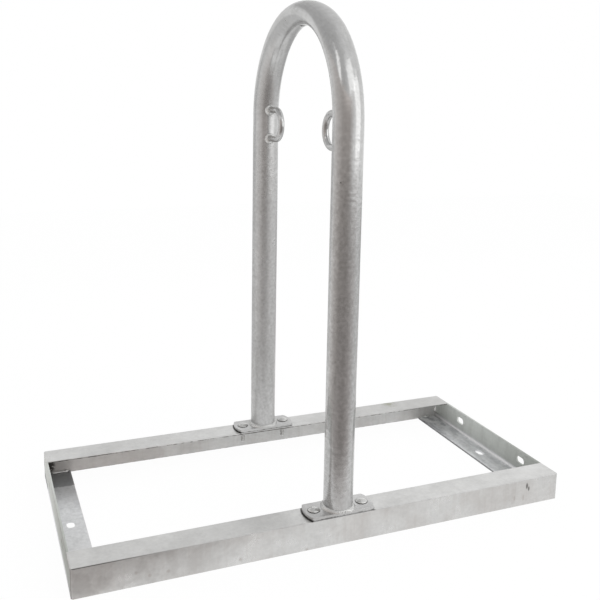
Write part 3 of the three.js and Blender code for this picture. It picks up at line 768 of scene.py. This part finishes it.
def rail_points(phase):
    """The front rail. The section's first leg hangs down and its second lies on top, pointing in.

    Past the plan corner's start, the outer face draws in along an arc of the plan radius. Zinc
    gathers unevenly along both toes, so the flange's toe hangs and the foot's edge lifts in waves.
    """
    local = bar(angle_section(), bar_stations(HALF_LENGTH, PLAN_RADIUS + 1, 221), HALF_LENGTH)
    down, inward, along = np.moveaxis(local, 2, 0)
    limit = round_off(along, HALF_LENGTH, PLAN_RADIUS)
    at_toe = ramp(inward, *DROOP_START) * ramp(down, *SKIN) * ramp(abs(along), *DROOP_END)
    at_foot = ramp(down, *LIFT_START) * ramp(inward, *SKIN)
    droop = DROOP_DEPTH * at_toe * ramp(waves(along, DROOP_WAVE, phase), -0.25, 0.75)
    lift = LIFT_HEIGHT * at_foot * ramp(waves(along, LIFT_WAVE, phase + 2), -0.15, 0.85)
    z = ANGLE_LEG - down - droop + lift
    return np.stack([along, np.maximum(inward, limit) - HALF_WIDTH, z], 2)


bolt_hole = circle(BOLT_RADIUS + BOLT_PLAY)
flange_middle = ANGLE_LEG - ANGLE_WALL / 2
for place, phase in (("front", 1.3), ("rear", 4.1)):
    holes = [prism(bolt_hole, (x, SIDES[place], flange_middle)) for x in HANDS.values()]
    points = carried(rail_points(phase), place == "front")
    make_piece(f"{place}_rail_zinc", f"{place}_rail", points, rail_zinc, holes=holes)

# %% [markdown]
# ## The end members
#
# An end member is the same angle, turned so that one leg stands at the frame's end and the other
# lies on the ground. It fits between the rails, so its corners are notched to pass under their
# flanges. Holding each point below a ceiling that depends on Y cuts the notch without a Boolean.

# %% End members
NOTCH_START = HALF_WIDTH - ANGLE_LEG - GAP
NOTCH_HEIGHT = ANGLE_LEG - ANGLE_WALL - GAP
END_REACH = HALF_WIDTH - ANGLE_WALL - GAP


def end_points():
    """The right end member, with z held under its ceiling.

    The ceiling is the full height between the flanges, the notch height under them, and a quarter
    circle of the root radius at the very ends, which clears the rails' fillets.
    """
    half = bar_stations(END_REACH, ROOT_RADIUS)
    step = np.array([NOTCH_START - 0.01, NOTCH_START + 0.01])
    stations = np.unique(np.concatenate([half, step, -step]))
    inward, up, along = np.moveaxis(bar(angle_section(), stations, END_REACH), 2, 0)
    low = NOTCH_HEIGHT - round_off(along, END_REACH, ROOT_RADIUS)
    ceiling = np.where(abs(along) > NOTCH_START, low, ANGLE_LEG)
    return np.stack([HALF_LENGTH - inward, along, np.minimum(up, ceiling)], 2)


slot = slot_outline(SLOT_LENGTH, SLOT_WIDTH)
for hand, side in (("right", 1.0), ("left", -1.0)):
    foot_middle = (side * (HALF_LENGTH - ANGLE_LEG / 2), 0, 0)
    holes = [prism(slot, foot_middle, (Y_WAY, X_WAY, Z_WAY))]
    for y in (-LINK_SLOT_REACH, LINK_SLOT_REACH):
        holes.append(prism(slot, (side * HALF_LENGTH, y, LINK_SLOT_HEIGHT), (Y_WAY, Z_WAY, X_WAY)))
    points = carried(end_points(), side > 0)
    make_piece(f"{hand}_end_zinc", f"{hand}_end_angle", points, end_zinc, holes=holes)

# %% [markdown]
# ## The hoop
#
# The hoop is a length of steel tube, bent cold to a half circle. Bending pulls the outer wall
# inwards, so the tube is flatter at the crown than at its feet. A tube with a bore is one grid:
# its rows run up the outside, over the crown and down, and then back along the bore.

# %% Bent lines and the hoop
LEG_ROWS, BEND_ROWS, TUBE_COLUMNS = 24, 120, 72


def u_line(centre, radius, first, ahead, length, leg_rows, bend_rows):
    """A U in the YZ plane: the centres of its rings, and the direction outwards at each.

    A straight leg runs ahead, a half circle turns about the centre, and another leg runs back.
    On the half circle, outwards = cos(t) first + sin(t) ahead, with t from 0 to pi.
    """
    first, ahead = np.array(first, float), np.array(ahead, float)
    t = np.linspace(0, np.pi, bend_rows)[:, None]
    bend = np.cos(t) * first + np.sin(t) * ahead
    leg = np.linspace(-length, 0, leg_rows)[:-1, None] * ahead
    centres = [leg + radius * first, radius * bend, leg[::-1] - radius * first]
    outward = [leg * 0 + first, bend, leg * 0 - first]
    return np.concatenate(centres) + centre, np.concatenate(outward)


def rings_about(centres, outward, away, across):
    """Rings about a line in the YZ plane: (y, z) = centre + outward * away, and x = across."""
    flat = centres[:, None] + outward[:, None] * away[..., None]
    x = np.broadcast_to(across, flat.shape[:2])[..., None]
    return np.concatenate([x, flat], 2)


leg_length = SPRING_HEIGHT - PLATE_TOP - GAP
middle, rows = (0.0, SPRING_HEIGHT), (LEG_ROWS, BEND_ROWS)
hoop_centres, hoop_outward = u_line(middle, RAIL_MIDDLE, (-1, 0), (0, 1), leg_length, *rows)
steps = np.linalg.norm(np.diff(hoop_centres, axis=0), axis=1)
way_along = np.concatenate([[0.0], np.cumsum(steps)])


def tube_surface(radius):
    """A round of this radius about the hoop's line, flattened on its outside near the crown.

    The flattening grows as the squared height of the outward direction: 0 on the legs, 1 on top.
    """
    away, across = radius * ring_ways(TUBE_COLUMNS).T
    kept = 1 - CROWN_FLATTENING * hoop_outward[:, 1:] ** 2 * (away > 0)
    return rings_about(hoop_centres, hoop_outward, away * kept, across)


def straight_places(radius):
    """Where each point was before the tube was bent: its round, and its way along the tube."""
    ring = radius * ring_ways(TUBE_COLUMNS)
    return stacked(np.broadcast_to(ring, (len(way_along), *ring.shape)), way_along)


bore_radius = TUBE_RADIUS - TUBE_WALL
surface = np.concatenate([tube_surface(TUBE_RADIUS), tube_surface(bore_radius)[::-1]])
straight = np.concatenate([straight_places(TUBE_RADIUS), straight_places(bore_radius)[::-1]])
vent = prism(circle(VENT_RADIUS), (0, 0, CROWN_HEIGHT - TUBE_RADIUS), depth=TUBE_RADIUS)
ring = {"rows_close": True, "straight": straight}
make_piece("hoop_zinc", "hoop_tube", surface, tube_zinc, holes=[vent], **ring)

# %% [markdown]
# ## The foot plates
#
# Each leg stands on a flat plate with bulging ends. It is cut from flat bar, and its edges are
# dull. Its upright side is a small profile carried round the outline, and the flat faces close it.

# %% Foot plates
PLATE_CORNER, PLATE_EDGE, FACET_RADIUS = 3.0, 0.6, 2.0
NECK_HOLE = 9.2


def plate_outline(columns=13):
    """The plate's plan: two long straight sides, and ends that bulge out along a circle."""
    radius = PLATE_END_RADIUS
    spread = np.arcsin(ANGLE_LEG / 2 / radius) * np.linspace(-1, 1, columns)
    end = np.stack([PLATE_REACH - radius * (1 - np.cos(spread)), radius * np.sin(spread)], 1)
    corners = np.concatenate([end, -end])
    radii = np.full(len(corners), FACET_RADIUS)
    radii[[0, columns - 1, columns, -1]] = PLATE_CORNER
    return rounded_outline(corners, radii, steps=5, support=0.05)


def plate_points(y):
    """A stack of copies of the outline, drawn in at the bottom and top by a quarter circle."""
    turn = np.linspace(0, np.pi / 2, 5)
    drawn = PLATE_EDGE * (1 - np.cos(turn))
    rise = PLATE_EDGE * (1 - np.sin(turn))
    heights = np.concatenate([rise[::-1], PLATE_THICKNESS - rise])
    insets = np.concatenate([drawn[::-1], drawn])
    outline = plate_outline()
    flat = outline[None] - outline_normals(outline)[None] * insets[:, None, None]
    return stacked(flat, PLATE_BOTTOM + heights) + np.array([0, y, 0])


neck_hole = NECK_HOLE / 2 * np.array([(-1, -1), (1, -1), (1, 1), (-1, 1)])
for place, y in SIDES.items():
    name = f"{place}_foot_plate"
    holes = [prism(neck_hole, (x, y, PLATE_TOP)) for x in HANDS.values()]
    holes.append(prism(circle(DRAIN_RADIUS), (0, y, PLATE_TOP)))
    make_piece(f"{name}_zinc", name, plate_points(y), plate_zinc, holes=holes)

# %% [markdown]
# ## The lock eyes
#
# A lock's shackle goes through a small U of round rod, welded inside each leg. Its ends are ground
# to the tube's round, so the first and last rings are laid on the tube's own surface.

# %% Lock eyes
EYE_CENTRE_HEIGHT = SPRING_HEIGHT - EYE_BELOW_BEND
EYE_BEND_RADIUS = EYE_HEIGHT / 2 - ROD_RADIUS
EYE_LEG_ROWS, EYE_BEND_ROWS, EYE_COLUMNS = 8, 40, 28


def tube_face(x, z):
    """Y of the front leg's inner side, at a place across and a height above the ground.

    Up to the spring it is the leg's own round. Above it, the same round is carried about the
    bend's centre, so its distance from that centre stays.
    """
    reach = RAIL_MIDDLE - np.sqrt(TUBE_RADIUS**2 - x**2)
    rise = np.clip(z - SPRING_HEIGHT, 0, None)
    return -np.sqrt(reach**2 - rise**2)


def eye_points():
    """The front eye: rings about a U that leaves the leg towards +Y, its ends laid on the tube."""
    length = EYE_REACH - ROD_RADIUS - EYE_BEND_RADIUS
    centre = (TUBE_RADIUS - RAIL_MIDDLE + length, EYE_CENTRE_HEIGHT)
    line = u_line(centre, EYE_BEND_RADIUS, (0, -1), (1, 0), length, EYE_LEG_ROWS, EYE_BEND_ROWS)
    points = rings_about(*line, *ROD_RADIUS * ring_ways(EYE_COLUMNS).T)
    first_and_last = points[[0, -1]]
    points[[0, -1], :, 1] = tube_face(first_and_last[..., 0], first_and_last[..., 2]) + GAP
    return points


for place in SIDES:
    name = f"{place}_lock_eye"
    make_piece(f"{name}_zinc", name, carried(eye_points(), place == "front"), eye_zinc)

# %% [markdown]
# ## Welds
#
# A hand-laid bead is a fillet with a bulging face and fine ripples, one for each dab of the torch.
# Its leg is not quite even either. A wave with short ripples and slow lumps, added to the leg,
# gives both. The random part has a fixed seed, so every run lays the same beads.

# %% Bead profile
FOOT_LEG, EYE_LEG, CORNER_LEG, LYING_LEG = 4.5, 4.0, 3.6, 3.2
FOOT_LUMPS, EYE_LUMPS, CORNER_LUMPS, LYING_LUMPS = 0.16, 0.36, 0.25, 0.2
FOOT_RIPPLES, EYE_RIPPLES, RIPPLE_LENGTH = 60, 9, 2.2
FOOT_EDGE, BEAD_BULGE, RIPPLE_DEPTH, LUMP_WAVES = 1.75, 0.3, 0.05, 5
dice = np.random.default_rng(21)


def unevenness(share, ripples, lumps):
    """Leg of a bead as a factor about 1, along a run that is measured from 0 to 1 and may close."""
    phases = enumerate(dice.uniform(0, 2 * np.pi, LUMP_WAVES), 1)
    slow = sum(np.sin(2 * np.pi * k * share + phase) / k for k, phase in phases)
    return 1 + RIPPLE_DEPTH * abs(np.sin(np.pi * ripples * share)) + lumps * slow / 2


def bead_face(steps=9):
    """Face of a fillet of leg 1, from its toe on one wall to its toe on the other, with a bulge."""
    share = np.linspace(0, 1, steps)
    bulge = BEAD_BULGE * share * (1 - share)
    return np.stack([1 - share + bulge, share + bulge], 1)


# %% Beads round the feet and the eyes
def closed_bead(way, inner, leg):
    """Distances and heights of a bead's section round a ring, with its inner corner as last row."""
    face = bead_face()
    distance = np.concatenate([inner + face[:, :1] * leg, np.full((1, len(way)), inner)])
    return distance, np.concatenate([face[:, 1:] * leg, np.zeros((1, len(way)))])


def foot_bead(y, columns=240):
    """A ring round a leg: distance = tube + face, and the plate's long edges trim it in Y."""
    way = ring_ways(columns)
    leg = FOOT_LEG * unevenness(np.arange(columns) / columns, FOOT_RIPPLES, FOOT_LUMPS)
    ring, rise = closed_bead(way, TUBE_RADIUS + GAP / 2, leg)
    limit = (TUBE_RADIUS + GAP + FOOT_EDGE) / np.maximum(abs(way[:, 1]), 1e-6)
    ring = np.minimum(ring, limit)
    return np.stack([ring * way[:, 0], y + ring * way[:, 1], PLATE_TOP + GAP / 2 + rise], 2)


def eye_bead(height, columns=96):
    """A ring round one end of the front eye, with its seat laid on the tube's round."""
    way = ring_ways(columns)
    leg = EYE_LEG * unevenness(np.arange(columns) / columns, EYE_RIPPLES, EYE_LUMPS)
    ring, rise = closed_bead(way, ROD_RADIUS + GAP / 2, leg)
    x, z = ring * way[:, 0], height + ring * way[:, 1]
    return np.stack([x, tube_face(x, z) + GAP / 2 + rise, z], 2)


for place, y in SIDES.items():
    beads = {f"{place}_foot_weld": foot_bead(y)}
    for level, rise in (("upper", EYE_BEND_RADIUS), ("lower", -EYE_BEND_RADIUS)):
        points = eye_bead(EYE_CENTRE_HEIGHT + rise)
        beads[f"{place}_eye_{level}_weld"] = carried(points, place == "front")
    grid = {"rows_close": True, "sharp": BEAD_SHARP_ANGLE}
    for name, points in beads.items():
        make_piece(f"{name}_bead", name, points, weld_zinc, "weld_metal", **grid)

# %% Beads in the frame's corners
def straight_bead(start, wall_a, wall_b, run, length, leg, lumps, rows=60):
    """A fillet between two walls that runs a length, and thins to nothing at both of its ends."""
    share = np.linspace(0, 1, rows)
    taper = np.sqrt(np.clip(1 - (2 * share - 1) ** 8, 0.02, 1))
    leg = (leg * unevenness(share, length / RIPPLE_LENGTH, lumps) * taper)[:, None]
    face = bead_face()
    a = np.concatenate([face[:, 0] * leg, leg * 0], 1) + GAP / 2
    b = np.concatenate([face[:, 1] * leg, leg * 0], 1) + GAP / 2
    start, wall_a, wall_b, run = (np.asarray(v, float) for v in (start, wall_a, wall_b, run))
    along = (share * length)[:, None, None] * run
    return start + along + a[..., None] * wall_a + b[..., None] * wall_b


ROOT_HEIGHT = ANGLE_WALL + ROOT_RADIUS
standing_run = ANGLE_LEG - 2 * ROOT_HEIGHT
lying_run = ANGLE_LEG - TOE_RADIUS - ROOT_HEIGHT - CORNER_LEG
for place, sy in (("front", -1), ("rear", 1)):
    for hand, sx in (("left", -1), ("right", 1)):
        inward_x, inward_y = (-sx, 0, 0), (0, -sy, 0)
        wall_x, wall_y = sx * (HALF_LENGTH - ANGLE_WALL), sy * (HALF_WIDTH - ANGLE_WALL)
        lying_x = sx * (HALF_LENGTH - ROOT_HEIGHT - CORNER_LEG)
        standing = ((wall_x, wall_y, ROOT_HEIGHT), inward_x, inward_y, Z_WAY, standing_run)
        lying = ((lying_x, wall_y, ANGLE_WALL), inward_y, Z_WAY, inward_x, lying_run)
        beads = {
            "standing": straight_bead(*standing, CORNER_LEG, CORNER_LUMPS),
            "lying": straight_bead(*lying, LYING_LEG, LYING_LUMPS),
        }
        for kind, points in beads.items():
            name = f"{place}_{hand}_{kind}_weld"
            look = (weld_zinc, "weld_metal")
            make_piece(f"{name}_bead", name, points, *look, sharp=BEAD_SHARP_ANGLE)

# %% [markdown]
# ## Bolts, washers and nuts
#
# The plates are held by coach bolts. A domed head shows on top, a square neck sits in the plate's
# square hole, and the thread ends below the nut. One grid makes the whole bolt: its radius is a
# function of height and angle, which is constant for a round, follows a square for the neck and
# climbs with the angle for the thread.

# %% Rings about an upright line
def ring_points(x, y, radii, heights):
    """Rings about an upright line: one row for each height, where a radius may change round it."""
    way = ring_ways(radii.shape[1])
    z = np.broadcast_to(heights[:, None], radii.shape)
    return np.stack([x + radii * way[:, 0], y + radii * way[:, 1], z], 2)


# %% Coach bolts
HEAD_RADIUS, HEAD_HEIGHT, HEAD_RIM = 10.3, 4.9, 0.8
RIM_SWELL, RIM_CHAMFER, RIM_LIFT = 0.12, 0.35, 0.15
NECK_SIDE, NECK_DEPTH = 8.2, 4.6
THREAD_PITCH, THREAD_DEPTH, THREAD_LENGTH, THREAD_ROWS = 1.25, 0.55, 22.0, 132
TIP_RADIUS, TIP_HEIGHT, THREAD_END = 3.0, 1.0, 1.2
BOLT_COLUMNS = 48


def bolt_points(x, y):
    """A coach bolt: rows run from the dome's top down to the tip, and every row is one level."""
    way = ring_ways(BOLT_COLUMNS)
    rise = HEAD_HEIGHT - HEAD_RIM
    dome = (HEAD_RADIUS**2 + rise**2) / (2 * rise)
    spread = np.arcsin(HEAD_RADIUS / dome) * np.linspace(0, 1, 12)
    rim = [HEAD_RADIUS + RIM_SWELL, HEAD_RADIUS, HEAD_RADIUS - RIM_CHAMFER]
    head = np.concatenate([dome * np.sin(spread), rim])
    dome_z = HEAD_HEIGHT - dome * (1 - np.cos(spread))
    head_z = [*dome_z, HEAD_RIM / 2, RIM_LIFT, 0]
    neck = NECK_SIDE / 2 / abs(way).max(1)
    shank_end = THREAD_LENGTH - BOLT_LENGTH
    thread_z = np.linspace(shank_end, THREAD_END - BOLT_LENGTH, THREAD_ROWS)
    turns = thread_z[:, None] / THREAD_PITCH + np.arange(BOLT_COLUMNS) / BOLT_COLUMNS
    thread = BOLT_RADIUS - THREAD_DEPTH * abs(turns % 1 * 2 - 1)
    rows = [*head, neck, neck, BOLT_RADIUS, BOLT_RADIUS, *thread]
    rows += [BOLT_RADIUS - THREAD_DEPTH, TIP_RADIUS, 0]
    radii = np.stack([np.broadcast_to(row, BOLT_COLUMNS) for row in rows])
    tip_z = [TIP_HEIGHT - BOLT_LENGTH, -BOLT_LENGTH, -BOLT_LENGTH]
    z = np.array([*head_z, 0, -NECK_DEPTH, -NECK_DEPTH, shank_end, *thread_z, *tip_z])
    return ring_points(x, y, radii, z + PLATE_TOP + GAP)


# %% Washers and nuts
WASHER_RADIUS, WASHER_THICKNESS, WASHER_ROUND = 8.0, 1.6, 0.3
NUT_FLATS, NUT_HEIGHT, NUT_EDGE = 13.0, 6.5, 0.2
CHAMFER_DEPTHS = np.array([0.0, 0.15, 0.3, 0.45, 0.6, 0.8])
BORE_RADIUS = BOLT_RADIUS + GAP


def washer_points(x, y, top, columns=48):
    """A flat washer: a rounded oblong section, turned about the bolt."""
    half = WASHER_THICKNESS / 2
    inner, outer = BORE_RADIUS, WASHER_RADIUS
    corners = [(inner, -half), (outer, -half), (outer, half), (inner, half)]
    section = rounded_outline(corners, WASHER_ROUND, steps=4, support=0.1)
    return ring_points(x, y, np.repeat(section[:, :1], columns, 1), top - half + section[:, 1])


def nut_points(x, y, top, columns=96):
    """A hexagon nut: radius = the smaller of the hexagon and a 30 degree cone at each end."""
    angle = np.arange(columns) * 2 * np.pi / columns
    hexagon = NUT_FLATS / 2 / np.cos((angle + np.pi / 6) % (np.pi / 3) - np.pi / 6)
    levels = np.concatenate([CHAMFER_DEPTHS, NUT_HEIGHT - CHAMFER_DEPTHS[::-1]])
    from_end = np.minimum(levels, NUT_HEIGHT - levels)
    cone = NUT_FLATS / 2 - NUT_EDGE + from_end / np.tan(np.pi / 6)
    outer = np.minimum(hexagon[None], cone[:, None])
    radii = np.concatenate([outer, np.full((2, columns), BORE_RADIUS)])
    return ring_points(x, y, radii, top - np.concatenate([levels, [NUT_HEIGHT, 0.0]]))


washer_top = ANGLE_LEG - ANGLE_WALL - GAP
nut_top = washer_top - WASHER_THICKNESS - GAP
for place, y in SIDES.items():
    for hand, x in HANDS.items():
        shapes = {
            "bolt": (bolt_points(x, y), False),
            "washer": (washer_points(x, y, washer_top), True),
            "nut": (nut_points(x, y, nut_top), True),
        }
        for kind, (points, closes) in shapes.items():
            name = f"{place}_{hand}_{kind}"
            look = (fastener_zinc, "zinc_plated_steel")
            make_piece(f"{name}_zinc", name, points, *look, rows_close=closes)

# %% [markdown]
# ## Studio
#
# Polished or satin metal shows its surroundings. The photo was taken on a white sweep, with soft
# light from the upper right. The sweep ends a short way from the rack, and past its edges lies a
# dimmer room, which makes the dark band down the middle of each tube. So the floor has two looks:
# the camera sees it plain and pale, and reflections see the sweep and what lies beyond it. The
# world is a soft grey that is brighter on the right.

# %% Floor
FLOOR_REACH = 4.0
FLOOR_COLOUR = (0.86, 0.86, 0.86, 1.0)
FRONT_EDGE, SIDE_EDGE = (0.27, 0.58), (0.40, 0.62)
CORNER_WAY, CORNER_EDGE, CORNER_END = (-0.27, -0.96, 0.0), (0.27, 0.40), (-0.38, 0.10)
NEAR_LEG, CAMERA_WAY = (0.0, -0.19, 0.0), (-0.3746, -0.9272, 0.0)
SWEEP_LEVEL, ROOM_LEVEL, ROOM_DIP = 0.95, 0.73, 0.47
RIGHT_FADE, RIGHT_LOSS, REAR_FADE, REAR_LOSS = (0.40, 0.75), 0.22, (0.35, 0.8), 0.2
ROOM_WARMTH = (1.10, 1.0, 0.96)
WHITE, PURE_WHITE, GLOW_SHARE = (1.0, 1.0, 1.0), 1.02, 0.94


def add_stage(name, points, faces, material):
    mesh = bpy.data.meshes.new(name)
    mesh.from_pydata(np.asarray(points, float).tolist(), [], faces)
    mesh.materials.append(material)
    add_object(name, mesh)


def show(finish, share, matte, colour, strength):
    """Ends a stage material: a share of it glows, and the rest is the matte shader."""
    values = {"Color": colour, "Strength": strength}
    glow = finish.node("ShaderNodeEmission", {}, values)["Emission"]
    shown = finish.node("ShaderNodeMixShader", {}, {0: share, 1: matte, 2: glow})[0]
    finish.node("ShaderNodeOutputMaterial", {}, {"Surface": shown})


floor_material = bpy.data.materials.new("pale_floor")
ground = Finish(floor_material)
sees = ground.node("ShaderNodeLightPath")
seen = sees["Is Camera Ray"]
place = ground.node("ShaderNodeTexCoord")["Object"]
x, y, _ = axes(ground, place)
from_leg = ground.vector("SUBTRACT", place, NEAR_LEG, "Vector")
way = ground.vector("NORMALIZE", from_leg, result="Vector")
facing = ground.dot(way, CAMERA_WAY).clamp()
front = (-y).rise(*FRONT_EDGE)
corner = ground.dot(place, CORNER_WAY).rise(*CORNER_EDGE) * x.fall(*CORNER_END)
left = (-x).rise(*SIDE_EDGE)
beyond = 1 - (1 - front) * (1 - corner) * (1 - left)
sweep = SWEEP_LEVEL - x.rise(*RIGHT_FADE) * RIGHT_LOSS - y.rise(*REAR_FADE) * REAR_LOSS
mirrored = sweep + (ROOM_LEVEL - facing * ROOM_DIP - sweep) * beyond
warmth = ground.mix(WHITE, ROOM_WARMTH, beyond * facing * (1 - seen))
matte = ground.node("ShaderNodeBsdfDiffuse", {}, {"Color": FLOOR_COLOUR})["BSDF"]
strength = seen * PURE_WHITE + mirrored * (1 - seen)
show(ground, seen * GLOW_SHARE + sees["Is Glossy Ray"], matte, warmth, strength)
floor_corners = [(-1, -1, 0), (1, -1, 0), (1, 1, 0), (-1, 1, 0)]
add_stage("floor", np.array(floor_corners) * FLOOR_REACH, [(0, 1, 2, 3)], floor_material)

# %% World
BRIGHT_WAY, BRIGHT_FADE, BRIGHT_GAIN = (0.95, -0.31, 0.0), (-0.5, 0.6), 0.32
WORLD_LEVEL, TOP_FADE, TOP_LOSS = 0.66, (0.05, 0.45), 0.10

world = bpy.data.worlds.new("studio")
bpy.context.scene.world = world
room = Finish(world)
seen = room.node("ShaderNodeLightPath")["Is Camera Ray"]
direction = room.node("ShaderNodeTexCoord")["Generated"]
bright_side = room.dot(direction, BRIGHT_WAY).rise(*BRIGHT_FADE)
overhead = room.dot(direction, Z_WAY).rise(*TOP_FADE)
level = WORLD_LEVEL + bright_side * BRIGHT_GAIN - overhead * TOP_LOSS
values = {"Color": (*WHITE, 1.0), "Strength": level * (1 - seen) + seen}
light = room.node("ShaderNodeBackground", {}, values)[0]
room.node("ShaderNodeOutputWorld", {}, {"Surface": light})

# %% [markdown]
# ## The dark flag
#
# Above the sweep's edge the tubes mirror the dim room as well. A flag stands for it: a folded
# screen to the left of the rack and in front of it, which only reflections see. It is dim and
# slightly warm near the camera, and it turns to white towards the rear, where the sweep rises.

# %% Dark flag
FLAG_FEET = np.array([
    (-0.5, 0.5), (-0.475, 0.15), (-0.475, -0.12), (-0.62, -0.4),
    (-1.15, -1.1), (-1.1, -2.0), (-0.3, -2.4), (1.1, -2.4),
])
FLAG_TOPS = np.array([0.95, 1.0, 1.05, 1.1, 1.5, 1.7, 1.7, 1.7])
FLAG_CLEARANCE = 0.002
FLAG_LEVEL, FLAG_WARMTH = 0.29, (1.09, 1.0, 0.95)
LOW_CLIMB, LOW_GAIN, HIGH_CLIMB, HIGH_GAIN = (0.1, 0.9), 0.14, (0.9, 1.7), 0.3
WHITE_FADE, WHITE_SHARE = (-0.6, 0.6), 0.95
FLAG_SIDE_FADE, FLAG_REAR_FADE = (-0.8, 1.0), (0.4, 0.5)

flag_material = bpy.data.materials.new("dark_flag")
cloth = Finish(flag_material)
x, y, z = axes(cloth, cloth.node("ShaderNodeTexCoord")["Object"])
white = y.rise(*WHITE_FADE) * WHITE_SHARE
level = z.rise(*LOW_CLIMB) * LOW_GAIN + z.rise(*HIGH_CLIMB) * HIGH_GAIN + FLAG_LEVEL
strength = level + (PURE_WHITE - level) * white
tint = cloth.mix(FLAG_WARMTH, WHITE, white)
clear = cloth.node("ShaderNodeBsdfTransparent", {}, {"Color": (*WHITE, 1.0)})["BSDF"]
sees = cloth.node("ShaderNodeLightPath")
share = sees["Is Glossy Ray"] * x.fall(*FLAG_SIDE_FADE) * y.fall(*FLAG_REAR_FADE)
show(cloth, share, clear, tint, strength)

count = len(FLAG_FEET)
feet = np.column_stack([FLAG_FEET, np.full(count, FLAG_CLEARANCE)])
tops = np.column_stack([FLAG_FEET, FLAG_TOPS])
steps = np.arange(count - 1)
flag_faces = np.stack([steps, steps + 1, steps + 1 + count, steps + count], 1).tolist()
add_stage("dark_flag", np.concatenate([feet, tops]), flag_faces, flag_material)

# %% Soft boxes
SOFT_BOXES = {
    "key_soft_box": ((1.45, -1.41, 1.22), (0, -0.19, 0.75), 1.5, 1.5, 0.66),
    "top_soft_box": ((0.36, -1.5, 2.0), (0, -0.19, 0.8), 1.4, 1.0, 0.6),
    "fill_soft_box": ((-1.45, -0.65, 2.05), (0, -0.19, 0.8), 0.5, 0.95, 1.0),
    "back_card": ((0.6, 2.0, 1.2), (0.6, 0.0, 1.2), 3.8, 1.2, 0.28),
}


def soft_box(name, place, target, width, height, brightness):
    """A rectangular lamp in metres that faces its target. Its power is pi * area * brightness."""
    lamp = bpy.data.lights.new(name, "AREA")
    lamp.shape = "RECTANGLE"
    lamp.size, lamp.size_y = width, height
    lamp.energy = float(np.pi * width * height * brightness)
    box = add_object(name, lamp)
    ahead = np.asarray(target, float) - np.asarray(place, float)
    ahead /= np.linalg.norm(ahead)
    right = np.cross(ahead, Z_WAY)
    right /= np.linalg.norm(right)
    turned = Matrix(np.stack([right, np.cross(right, ahead), -ahead], 1).tolist()).to_4x4()
    box.matrix_world = Matrix.Translation(place) @ turned
    print(name, round(lamp.energy, 2), "W")


for name, values in SOFT_BOXES.items():
    soft_box(name, *values)

# %% [markdown]
# ## Finish
#
# The colour view is set to Standard, so that colours render as they are written.

# %% Finish
bpy.context.scene.view_settings.view_transform = "Standard"
